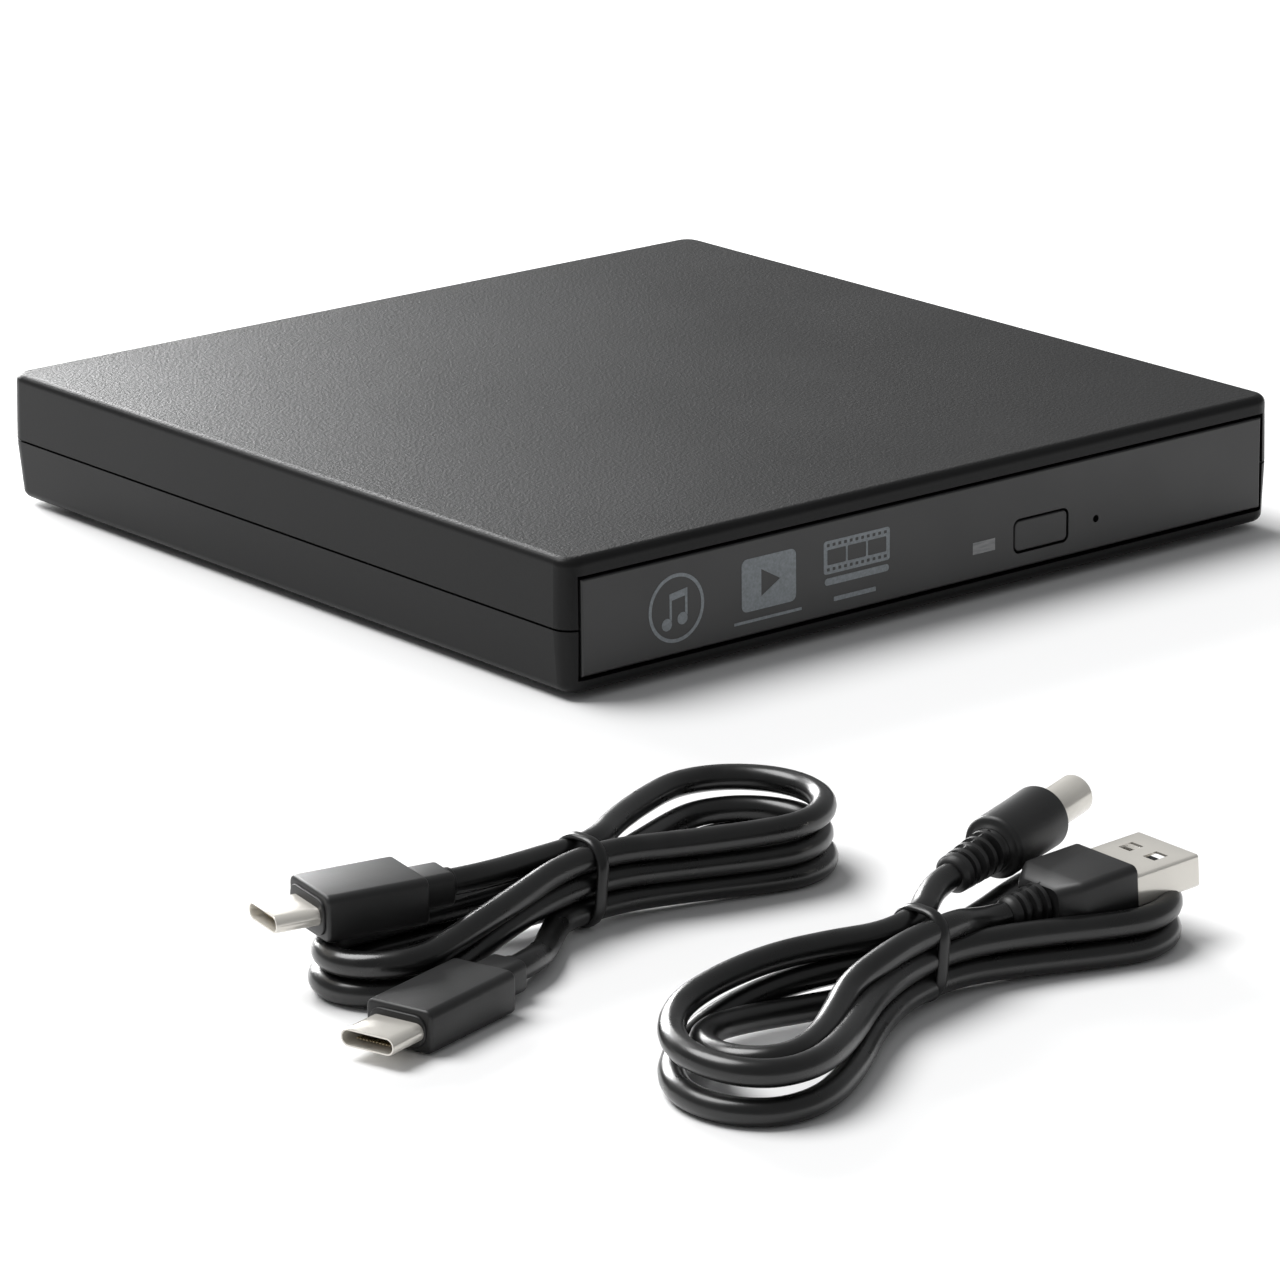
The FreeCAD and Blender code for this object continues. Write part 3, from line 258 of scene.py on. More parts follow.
# ---------------------------------------------------------------------------
# Materials
# ---------------------------------------------------------------------------
class Finish:
    """A material being put together, with its plain values set on the shader.

    Noise and waves read the Object coordinates, so sizes are in metres.
    """

    def __init__(self, name, colour, roughness, metallic=0.0, specular=0.5):
        self.material = bpy.data.materials.new(name)
        self.material.use_nodes = True
        self.nodes, self.links = self.material.node_tree.nodes, self.material.node_tree.links
        self.shader = self.nodes["Principled BSDF"]
        self.set("Base Color", (*colour, 1))
        self.set("Roughness", roughness)
        self.set("Metallic", metallic)
        self.set("Specular IOR Level", specular)

    def set(self, socket, value):
        self.shader.inputs[socket].default_value = value

    def drive(self, socket, value):
        """Lets a value worked out by other nodes set one of the shader's sockets."""
        self.links.new(value, self.shader.inputs[socket])

    def add(self, kind, **values):
        """A new node of this kind; values set its sockets, their names written with _ for a space."""
        node = self.nodes.new("ShaderNode" + kind)
        for socket, value in values.items():
            node.inputs[socket.replace("_", " ")].default_value = value
        return node

    def point(self, stretch=(1, 1, 1)):
        """The point on the piece, stretched along its axes."""
        place = self.add("TexCoord")
        mapping = self.add("Mapping", Scale=stretch)
        self.links.new(place.outputs["Object"], mapping.inputs["Vector"])
        return mapping.outputs["Vector"]

    def noise(self, point, size, detail=3.0, rough=0.5):
        """Cloudy noise whose blotches are about size metres wide."""
        node = self.add("TexNoise", Scale=1 / size, Detail=detail, Roughness=rough)
        self.links.new(point, node.inputs["Vector"])
        return node.outputs["Fac"]

    def ranged(self, value, low, high, source=(0.3, 0.7)):
        """Maps a value from its source range to low..high."""
        node = self.add("MapRange", From_Min=source[0], From_Max=source[1], To_Min=low, To_Max=high)
        self.links.new(value, node.inputs["Value"])
        return node.outputs["Result"]

    def maths(self, operation, first, second):
        """Two values put together by one sum or product."""
        node = self.add("Math")
        node.operation = operation
        self.links.new(first, node.inputs[0])
        self.links.new(second, node.inputs[1])
        return node.outputs[0]

    def tint(self, value, dark, light):
        """Colours the shader between dark and light by a value from 0 to 1."""
        ramp = self.add("ValToRGB")
        for element, colour, position in zip(ramp.color_ramp.elements, (dark, light), (0.3, 0.7)):
            element.color = (*colour, 1)
            element.position = position
        self.links.new(value, ramp.inputs["Fac"])
        self.drive("Base Color", ramp.outputs["Color"])

    def bump(self, height, depth):
        """Raises the surface by height times depth metres."""
        node = self.add("Bump", Distance=depth, Strength=1.0)
        self.links.new(height, node.inputs["Height"])
        self.drive("Normal", node.outputs["Normal"])


def shade(colour, factor):
    return tuple(min(1.0, c * factor) for c in colour)


def moulded(name, colour, roughness=0.4, grain=0.0003, depth=0.000006, vary=0.12):
    """Moulded plastic: fine spark grain, a little cloudiness in colour and gloss."""
    finish = Finish(name, colour, roughness)
    point = finish.point()
    cloud = finish.noise(point, 0.012)
    finish.tint(cloud, shade(colour, 1 - vary), shade(colour, 1 + vary))
    finish.drive("Roughness", finish.ranged(cloud, roughness - 0.04, roughness + 0.06))
    finish.bump(finish.noise(point, grain, 2.0), depth)
    return finish.material


def worked_metal(name, colour, roughness=0.3, stretch=(1, 30, 30), line=0.012, depth=0.000004, swing=0.09,
                 metallic=1.0):
    """Metal with drawn or brushed lines along the axis whose stretch is least."""
    finish = Finish(name, colour, roughness, metallic)
    lines = finish.noise(finish.point(stretch), line, 4.0, 0.6)
    cloud = finish.noise(finish.point(), 0.02)
    finish.tint(cloud, shade(colour, 0.88), shade(colour, 1.05))
    finish.drive("Roughness", finish.ranged(lines, roughness - swing, roughness + swing))
    finish.bump(lines, depth)
    return finish.material


def grained_case(name, colour, settings):
    """Case plastic: pebbled and more matt on the top, satin with a faint trace of the grain on the sides."""
    matter = 0.14                    # roughness that the top has over the sides
    edge_start, edge_end = 0.00035, 0.00005      # the grain sets in between these depths below the top
    finish = Finish(name, colour, settings.roughness)
    links = finish.links
    point = finish.point()
    split = finish.add("SeparateXYZ")
    links.new(point, split.inputs["Vector"])
    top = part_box("case_top")[1][2]
    on_top = finish.ranged(split.outputs["Z"], 0, 1, (top - edge_start, top - edge_end))
    pebble = finish.add("TexVoronoi", Scale=1 / settings.grain)
    pebble.feature = "SMOOTH_F1"
    pebble.inputs["Smoothness"].default_value = 0.7
    warp = finish.add("MixRGB", Fac=0.0007)
    drift = finish.add("TexNoise", Scale=0.6 / settings.grain)
    links.new(point, drift.inputs["Vector"])
    links.new(point, warp.inputs["Color1"])
    links.new(drift.outputs["Color"], warp.inputs["Color2"])
    links.new(warp.outputs["Color"], pebble.inputs["Vector"])
    fine = finish.noise(point, settings.grain * 0.5, 2.0)
    height = finish.maths("ADD", pebble.outputs["Distance"], fine)
    share = finish.ranged(on_top, 0.06, 1.0, (0, 1))
    finish.bump(finish.maths("MULTIPLY", height, share), settings.grain_depth)
    cloud = finish.noise(point, 0.03)
    finish.tint(cloud, shade(colour, 0.9), shade(colour, 1.1))
    finish.drive("Specular IOR Level", finish.ranged(on_top, 0.15, 0.25, (0, 1)))
    satin = finish.ranged(cloud, settings.roughness - 0.02, settings.roughness + 0.04)
    gloss = finish.add("Math")
    gloss.operation = "MULTIPLY_ADD"
    gloss.inputs[1].default_value = matter
    links.new(on_top, gloss.inputs[0])
    links.new(satin, gloss.inputs[2])
    finish.drive("Roughness", gloss.outputs[0])
    return finish.material


def jacket(name, colour, roughness):
    """A cord's extruded jacket: faint unevenness and a soft shine."""
    finish = Finish(name, colour, roughness)
    finish.set("Coat Weight", 0.25)
    finish.set("Coat Roughness", 0.18)
    point = finish.point()
    cloud = finish.noise(point, 0.004)
    finish.tint(cloud, shade(colour, 0.85), shade(colour, 1.3))
    finish.drive("Roughness", finish.ranged(cloud, roughness - 0.05, roughness + 0.08))
    finish.bump(finish.noise(point, 0.0009, 3.0), 0.00001)
    return finish.material


# ---------------------------------------------------------------------------
# Stage
# ---------------------------------------------------------------------------
CAMERA_AT = (-605.2, -749.6, 274.5)
CAMERA_YAW = 38.95               # degrees from +Y towards +X
CAMERA_DOWN = 17.07
CAMERA_ROLL = -0.64
CAMERA_LENS = 174.0


def aim(thing, at, towards):
    """Turns a light so that it shines from one point to another."""
    thing.location = Vector(at) * MM
    way = (Vector(towards) - Vector(at)) * MM
    thing.rotation_euler = way.to_track_quat("-Z", "Y").to_euler()


def area_light(name, at, towards, size, power, tone=(1, 1, 1)):
    lamp = bpy.data.lights.new(name, "AREA")
    lamp.shape = "RECTANGLE"
    lamp.size, lamp.size_y = size
    lamp.energy = power
    lamp.color = tone
    light = bpy.data.objects.new(name, lamp)
    bpy.context.scene.collection.objects.link(light)
    aim(light, at, towards)
    light.visible_camera = False
    return light


class DRIVE_OT_stage(bpy.types.Operator):
    """Camera, floor and studio lights"""

    bl_idname = "drive.stage"
    bl_label = "Stage"

    def execute(self, context):
        settings = context.scene.drive_stage
        context.scene.view_settings.view_transform = "Standard"
        camera_data = bpy.data.cameras.new("camera")
        camera_data.lens = CAMERA_LENS
        camera_data.sensor_width = 36
        camera_data.clip_start, camera_data.clip_end = 0.05, 20
        camera = bpy.data.objects.new("camera", camera_data)
        context.scene.collection.objects.link(camera)
        yaw, down, roll = (math.radians(v) for v in (CAMERA_YAW, CAMERA_DOWN, CAMERA_ROLL))
        ahead = Vector((math.sin(yaw) * math.cos(down), math.cos(yaw) * math.cos(down), -math.sin(down)))
        level = Vector((math.cos(yaw), -math.sin(yaw), 0))
        rise = level.cross(ahead)
        right = level * math.cos(roll) + rise * math.sin(roll)
        up = rise * math.cos(roll) - level * math.sin(roll)
        turn = Matrix((right, up, -ahead)).transposed().to_4x4()
        camera.matrix_world = Matrix.Translation(Vector(CAMERA_AT) * MM) @ turn
        context.scene.camera = camera
        self.add_floor(context, settings)
        self.add_lights(context, settings)
        return {"FINISHED"}

    def add_floor(self, context, settings):
        """A flat grid 12 m square at z = 0."""
        side = np.linspace(-6, 6, 7)
        x, y = np.meshgrid(side, side, indexing="ij")
        points = np.stack([x, y, np.zeros_like(x)], axis=-1).reshape(-1, 3)
        mesh = bpy.data.meshes.new("floor")
        mesh.from_pydata(points.tolist(), [], grid_faces(7, 7))
        finish = Finish("pale_floor", settings.floor, 0.55, specular=0.25)
        finish.bump(finish.noise(finish.point(), 0.0008), 0.00001)
        mesh.materials.append(finish.material)
        floor = bpy.data.objects.new("floor", mesh)
        context.scene.collection.objects.link(floor)

    def add_lights(self, context, settings):
        world = bpy.data.worlds.new("room")
        world.use_nodes = True
        world.node_tree.nodes["Background"].inputs["Color"].default_value = (0.98, 0.99, 1, 1)
        world.node_tree.nodes["Background"].inputs["Strength"].default_value = settings.sky
        context.scene.world = world
        lamp = bpy.data.lights.new("key_light", "SUN")
        lamp.energy = settings.key
        lamp.angle = math.radians(38)
        light = bpy.data.objects.new("key_light", lamp)
        context.scene.collection.objects.link(light)
        aim(light, (-250, 470, 880), (0, 0, 0))
        area_light("back_softbox", (110, 680, 250), (-60, 40, 20), (0.38, 0.36), settings.softbox)


# ---------------------------------------------------------------------------
# Leads.  Each cord runs from one plug through the tie, round the hank's
# lobes and back through the tie to the other plug.
# ---------------------------------------------------------------------------
TIE_HALF = 4.6                   # a cord is straight this far each side of the tie


def from_tie(tie, end, rows):
    """Turns (along, across, z) rows into points.

    along runs from the tie to the lobe's end, and across is square to it on the side of the drive.
    """
    start = np.array(tie[:2])
    way = np.array(end[:2]) - start
    way /= np.linalg.norm(way)
    across = np.array([-way[1], way[0]])
    if across[1] < 0:
        across = -across
    rows = np.array(rows)
    flat = start + rows[:, :1] * way + rows[:, 1:2] * across
    return np.column_stack([flat, rows[:, 2]]).tolist()


def lobe_points(tie, end, slots, turn, back_first):
    """Control points of one turn round a lobe.

    slots are the (across, z) places in the tie that it leaves and comes back to.
    turn is (reach short of end, half width, shift across, spread near the tie, z before, z at the end,
    z after, z out, z back).  The bend is an arc about a centre one half width short of the reach, drawn
    round by points at half width / cos(half a step), so that the curve touches the arc.
    """
    short, half, shift, spread, z_before, z_end, z_after, z_out, z_back = turn
    centre = math.dist(tie[:2], end[:2]) - short - half
    side = 1 if back_first else -1
    angle = np.radians(np.linspace(108, -108, 9)) * side
    reach = half / math.cos(angle[0] / 8)
    s = centre + reach * np.cos(angle)
    t = shift + reach * np.sin(angle)
    z = np.interp(np.linspace(-1, 1, 9), [-1, 0, 1], [z_before, z_end, z_after])
    keep = 0.9 - spread
    lead_in = [(TIE_HALF, *slots[0]), (0.5 * s[0], spread * t[0] + keep * slots[0][0], z_out)]
    lead_out = [(0.5 * s[-1], spread * t[-1] + keep * slots[1][0], z_back), (TIE_HALF, *slots[1])]
    return from_tie(tie, end, lead_in + list(zip(s, t, z)) + lead_out)


LEVELS = (2.75, 6.2, 9.65)       # heights of the cord's three layers in the tie
SLOT = 2.0                       # the cord's two columns lie this far each side of the tie's middle
BACK = [(SLOT, z) for z in LEVELS]
FRONT = [(-SLOT, z) for z in LEVELS]

DATA_TIE = (-129.5, -148.0)
DATA_LEFT = (-171.7, -149.7)     # where the middle of the cord turns, at each end
DATA_RIGHT = (-88.5, -145.1)
PLUG_A_AT, PLUG_A_WAY = (-151.5, -147.8, 10.7), (-0.984, 0.179, 0)
PLUG_B_AT, PLUG_B_WAY = (-153.0, -163.0, 3.1), (-0.961, -0.278, 0)

POWER_TIE = (-114.5, -198.0)
POWER_LEFT = (-159.7, -212.9)
POWER_RIGHT = (-72.8, -194.6)
PLUG_DC_AT, PLUG_DC_WAY = (-101.0, -189.2, 11.2), (0.955, 0.285, 0.07)
PLUG_USB_AT, PLUG_USB_WAY = (-98.4, -197.0, 7.3), (0.997, -0.04, 0.06)


def data_route():
    """Plug a, three turns at the right and two at the left, plug b."""
    points = [PLUG_A_AT, (-148.3, -148.4, 10.7), (-142.0, -147.6, 10.2)]
    points.append((DATA_TIE[0] - TIE_HALF, DATA_TIE[1] + SLOT, LEVELS[2]))
    right = [
        (BACK[2], FRONT[2], (-0.4, 11.6, 1.2, 0.52, 9.4, 9.2, 9.1, 9.6, 9.5)),
        (BACK[1], FRONT[1], (0.6, 10.2, 0.2, 0.40, 5.4, 5.4, 5.3, 5.8, 5.8)),
        (BACK[0], FRONT[0], (0.0, 9.7, -0.3, 0.32, 1.85, 1.85, 1.85, 2.3, 2.3)),
    ]
    left = [
        (FRONT[2], BACK[1], (0.4, 7.8, -1.5, 0.50, 6.6, 5.6, 5.4, 8.6, 6.0)),
        (FRONT[1], BACK[0], (0.2, 8.0, -1.0, 0.36, 2.6, 1.85, 1.85, 5.2, 2.3)),
    ]
    for i, (leave, back, turn) in enumerate(right):
        points += lobe_points(DATA_TIE, DATA_RIGHT, (leave, back), turn, True)
        if i < len(left):
            leave, back, turn = left[i]
            points += lobe_points(DATA_TIE, DATA_LEFT, (leave, back), turn, False)
    points += [(-134.6, -150.2, 2.6), (-139.6, -154.4, 2.2), (-144.0, -158.6, 2.6), (-148.6, -161.7, 3.1)]
    points.append(PLUG_B_AT)
    return points


def power_route():
    """Round plug, three turns at the left and two at the right, flat plug."""
    points = [PLUG_DC_AT, (-104.4, -190.2, 11.0), (-108.2, -192.6, 10.6), (-112.0, -195.6, 10.0)]
    left = [
        [(4.6, 2.0, 9.65), (10.5, 6.8, 9.4), (17.5, 11.2, 9.0), (26.0, 13.6, 8.4), (34.5, 13.8, 7.9),
         (41.3, 11.2, 7.4), (46.3, 6.9, 7.1), (48.6, 1.6, 6.9), (48.6, -3.8, 6.7), (45.6, -7.9, 6.5),
         (39.0, -9.4, 6.3), (29.6, -7.4, 6.1), (18.5, -3.6, 6.0), (10.5, -2.2, 6.1), (4.6, -2.0, 6.2)],
        [(4.6, 2.0, 6.2), (10.5, 6.6, 5.9), (17.5, 10.9, 5.1), (26.0, 13.4, 3.9), (34.5, 13.6, 2.7),
         (41.3, 11.2, 1.95), (46.6, 6.9, 1.85), (49.2, 1.6, 1.85), (49.2, -3.8, 1.85), (46.4, -8.3, 1.85),
         (39.6, -10.2, 1.85), (29.0, -7.9, 1.9), (18.5, -4.0, 2.2), (10.5, -2.3, 2.6), (4.6, -2.0, 2.75)],
        [(4.6, 2.0, 2.75), (10.5, 4.0, 2.3), (17.5, 7.6, 2.6), (26.0, 10.2, 3.6), (33.5, 10.6, 4.6),
         (39.4, 8.0, 5.2), (42.8, 3.2, 5.6), (43.0, -2.2, 6.0), (39.6, -5.6, 6.3), (33.0, -5.2, 6.4),
         (26.0, -3.2, 6.9), (18.5, -0.9, 8.0), (10.5, -1.6, 9.3), (4.6, -2.0, 9.65)],
    ]
    right = [
        (FRONT[1], BACK[1], (0.0, 10.2, -0.6, 0.30, 5.5, 5.5, 5.4, 6.0, 5.9)),
        (FRONT[0], BACK[0], (0.5, 10.0, -1.0, 0.30, 1.85, 1.85, 1.85, 2.3, 2.3)),
    ]
    for i, rows in enumerate(left):
        points += from_tie(POWER_TIE, POWER_LEFT, rows)
        if i < len(right):
            leave, back, turn = right[i]
            points += lobe_points(POWER_TIE, POWER_RIGHT, (leave, back), turn, False)
    points += [(-109.6, -199.6, 9.5), (-105.2, -197.9, 8.2), (-101.6, -197.0, 7.3)]
    points.append(PLUG_USB_AT)
    return points


def cord_curve(name, points, material, radius):
    """A cord as one smooth spline with these control points, in millimetres."""
    curve = bpy.data.curves.new(name, "CURVE")
    curve.dimensions = "3D"
    curve.bevel_depth = radius
    curve.bevel_resolution = 6
    curve.resolution_u = 8
    curve.use_fill_caps = True
    spline = curve.splines.new("NURBS")
    spline.points.add(len(points) - 1)
    line = np.column_stack([np.array(points) * MM, np.ones(len(points))])
    spline.points.foreach_set("co", line.ravel())
    spline.order_u = 3
    spline.use_endpoint_u = True
    curve.materials.append(material)
    cord = bpy.data.objects.new(name, curve)
    bpy.context.scene.collection.objects.link(cord)
    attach(cord, "root")
    return cord


class DRIVE_OT_cords(bpy.types.Operator):
    """Both cords, wound as hanks"""

    bl_idname = "drive.cords"
    bl_label = "Cords"

    def execute(self, context):
        settings = context.scene.drive_leads
        material = jacket("cord_jacket", settings.cord, settings.roughness)
        radius = settings.diameter / 2
        data = cord_curve("data_cord", data_route(), material, radius)
        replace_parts(data, "data_lead_hank", "data_lead_tail_a", "data_lead_tail_b")
        power = cord_curve("power_cord", power_route(), material, radius)
        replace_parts(power, "power_lead_hank", "power_lead_tail_a", "power_lead_tail_b")
        return {"FINISHED"}


def tie_part(tie):
    """A band round a hank's waist: an oval section carried round a rounded rectangle that leans a little."""
    middle = LEVELS[1]
    beside = 2.35                    # from a column of cords to the band's middle line
    ring = rounded_rectangle(2 * (SLOT + beside), 11.4, 3.4, 9)
    turn = np.linspace(0, 2 * np.pi, 16, endpoint=False)
    out = np.stack([np.cos(turn), np.sin(turn)], axis=-1)
    path = np.column_stack([0.10 * ring[:, 1] - 0.05 * ring[:, 0], ring])
    way = np.roll(ring, -1, 0) - np.roll(ring, 1, 0)
    way /= np.linalg.norm(way, axis=1)[:, None]
    normal = np.column_stack([way[:, 1], -way[:, 0]])
    wide = 0.95 * out[:, 0]
    thick = 0.5 * out[:, 1]
    rings = np.zeros((len(ring), len(turn), 3))
    rings[:, :, 0] = path[:, :1] + wide
    rings[:, :, 1] = ring[:, :1] + thick * normal[:, :1]
    rings[:, :, 2] = ring[:, 1:] + thick * normal[:, 1:]
    points, faces = closed_ring(rings)
    return points + np.array([tie[0], tie[1], middle]), faces


class DRIVE_OT_ties(bpy.types.Operator):
    """The two bands that hold the hanks"""

    bl_idname = "drive.ties"
    bl_label = "Ties"

    def execute(self, context):
        settings = context.scene.drive_leads
        material = moulded("tie_band", shade(settings.mould, 0.8), 0.32, 0.0006, 0.000008)
        for name, tie in (("data_lead", DATA_TIE), ("power_lead", POWER_TIE)):
            band = build(name + "_band", [tie_part(tie)], [material], "root", 60)
            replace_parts(band, name + "_tie")
        return {"FINISHED"}


def hollow_bar(x0, x1, width, height, radius, wall, lip=0.15):
    """A metal sleeve along +X, open at x1: outside, rounded mouth, inside and a back wall."""
    rows = [(x0, width, height, radius), (x1 - lip, width, height, radius)]
    rows += [(x1, width - 0.7 * lip, height - 0.7 * lip, radius - 0.35 * lip)]
    inner = (width - 2 * wall, height - 2 * wall, max(radius - wall, 0.1))
    rows += [(x1, inner[0] + 0.5 * lip, inner[1] + 0.5 * lip, inner[2] + 0.25 * lip), (x1 - lip, *inner)]
    rows += [(x0 + 0.8, *inner)]
    rings = bar_rings(rows, 7)
    return closed_loft(rings)


# Metal shells of the plugs: length, then width, height, corner radius and wall
USB_C_SHELL = (6.5, 8.25, 2.4, 1.18, 0.28)
USB_A_SHELL = (10.5, 12.0, 4.5, 0.45, 0.32)


def usb_c_contacts(x0, x1, rows=12):
    """The slim tongue slot inside a plug's tip: two facing rows of spring contacts."""
    parts = []
    for side in (-1, 1):
        for k in range(rows):
            y = (k - (rows - 1) / 2) * 0.5
            z0, z1 = sorted((side * 0.42, side * 0.62))
            parts.append(box(x0, x1, y - 0.13, y + 0.13, z0, z1, 0.03))
    return parts


def plug_finishes(settings):
    """Moulded grip, bare metal, dark insulation and gilt contacts, made once."""
    if "plug_mould" not in bpy.data.materials:
        moulded("plug_mould", settings.mould, 0.46, 0.00035, 0.00001, 0.1)
        worked_metal("plug_plating", settings.plating, 0.2, (1, 1, 1), 0.0025, 0.0000006, 0.04, 0.45)
        moulded("plug_insulation", (0.012, 0.012, 0.012), 0.5, 0.0003, 0.000004)
        worked_metal("gilt_contact", (0.62, 0.52, 0.34), 0.32)
    return [bpy.data.materials[n] for n in ("plug_mould", "plug_plating", "plug_insulation", "gilt_contact")]


class DRIVE_OT_usb_c_plugs(bpy.types.Operator):
    """The data lead's two reversible plugs"""

    bl_idname = "drive.usb_c_plugs"
    bl_label = "USB-C plugs"

    def execute(self, context):
        grip, plating, insulation, gilt = plug_finishes(context.scene.drive_leads)
        plugs = (
            ("usb_c_plug_a", PLUG_A_AT, PLUG_A_WAY, 5.0, 14.5, (6.4, 4.6), (11.4, 6.4)),
            ("usb_c_plug_b", PLUG_B_AT, PLUG_B_WAY, 5.5, 18.0, (5.8, 4.4), (10.2, 5.8)),
        )
        for name, at, way, relief, length, neck, grip_size in plugs:
            end = relief + length
            neck_part = closed_loft(bar_rings(soft_bar(0, relief + 1, *neck, 1.1, 0.45)))
            stations = soft_bar(relief, end, *grip_size, 1.1, 0.5)
            grip_part = closed_loft(bar_rings(stations))
            collar = closed_loft(bar_rings(soft_bar(end - 1, end + 0.35, grip_size[0] - 1.6,
                                                    grip_size[1] - 1.6, 1.6, 0.2)))
            cord_sleeve = closed_loft(turned_solid([(-0.9, 1.86), (-0.6, 2.05), (0.6, 2.05)], 32))
            parts = [placed(p, at, way) for p in (neck_part, grip_part, collar, cord_sleeve)]
            body = build(name + "_grip", parts, [grip], "root")
            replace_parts(body, name)
            tip = hollow_bar(end, end + USB_C_SHELL[0], *USB_C_SHELL[1:])
            tongue = closed_loft(bar_rings([(end + 0.7, 7.5, 1.7, 0.8), (end + 1.6, 7.5, 1.7, 0.8)]))
            parts = [placed(tip, at, way)]
            parts.append((*placed(tongue, at, way), 1))
            parts += [(*placed(p, at, way), 2) for p in usb_c_contacts(end + 1.5, end + 4.9)]
            shell = build(name + "_tip", parts, [plating, insulation, gilt], "root")
            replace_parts(shell, name + "_shell")
        return {"FINISHED"}


def ribbed(start, pitch, count, groove, depth):
    """Slots across a strain relief: between ribs the radius drops by depth on two opposite sides."""
    def change(x, angle, radius):
        place = (x - start) / pitch
        within = (place > 0) & (place < count)
        wave = np.clip((np.cos(2 * np.pi * place) - np.cos(np.pi * groove)) * -4, 0, 1)
        sides = np.clip(1.4 * np.abs(np.cos(angle)) + 0.1, 0, 1)
        return radius - within * (1 - wave) * depth * sides
    return change


class DRIVE_OT_power_plug(bpy.types.Operator):
    """The power lead's round plug"""

    bl_idname = "drive.power_plug"
    bl_label = "Power plug"

    def execute(self, context):
        grip, plating, insulation = plug_finishes(context.scene.drive_leads)[:3]
        at, way = PLUG_DC_AT, PLUG_DC_WAY
        relief, end = 10.0, 22.5
        neck = [(x, 2.6 + 0.5 * x / relief) for x in np.linspace(0.35, relief, 60)]
        profile = [(-0.4, 1.85), (-0.2, 2.2), (0.1, 2.4)] + neck
        ribs = turned_solid(profile, 48, ribbed(1.4, 2.0, 4, 0.5, 1.0))
        turn = np.linspace(0, np.pi / 2, 6)
        soft = [(relief + 0.8 * (1 - math.cos(a)), 4.4 - 0.8 * (1 - math.sin(a))) for a in turn]
        waist = [(relief - 0.9, 2.6), (relief - 0.2, 3.3)]
        front = [(end - 0.5 * (1 - math.cos(a)), 4.4 - 0.5 * (1 - math.sin(a))) for a in turn[::-1]]
        body = turned_solid(waist + soft + [(relief + 4, 4.35), (relief + 8, 4.35)] + front, 64)
        parts = [placed(closed_loft(p), at, way) for p in (ribs, body)]
        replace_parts(build("dc_plug_grip", parts, [grip], "root"), "dc_plug")
        barrel_r = 2.75
        tube = [(end - 0.5, barrel_r), (end + 8.7, barrel_r), (end + 9.0, 2.55), (end + 9.0, 2.35),
                (end + 8.6, 2.25), (end + 1.0, 2.25)]
        sleeve = [(end + 1.0, 2.24), (end + 8.75, 2.24), (end + 8.85, 2.1), (end + 8.85, 1.3),
                  (end + 8.6, 1.12), (end + 1.5, 1.12)]
        bore = [(end + 1.5, 1.11), (end + 7.6, 1.11), (end + 7.6, 1.0), (end + 2.0, 1.0)]
        parts = [placed(closed_loft(turned_solid(tube, 64)), at, way)]
        parts.append((*placed(closed_loft(turned_solid(sleeve, 48)), at, way), 1))
        parts.append((*placed(closed_loft(turned_solid(bore, 32)), at, way), 0))
        barrel = build("dc_plug_sleeve", parts, [plating, insulation], "root", 30)
        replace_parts(barrel, "dc_plug_barrel")
        return {"FINISHED"}


def cut_away(target, cutters):
    """Takes the cutters' shapes out of a piece for good."""
    for cutter in cutters:
        change = target.modifiers.new("cut", "BOOLEAN")
        change.operation = "DIFFERENCE"
        change.solver = "EXACT"
        change.object = cutter
    graph = bpy.context.evaluated_depsgraph_get()
    mesh = bpy.data.meshes.new_from_object(target.evaluated_get(graph))
    target.modifiers.clear()
    target.data = mesh
    mesh.shade_smooth()
    mesh.set_sharp_from_angle(angle=math.radians(30))
    for cutter in cutters:
        bpy.data.objects.remove(cutter)


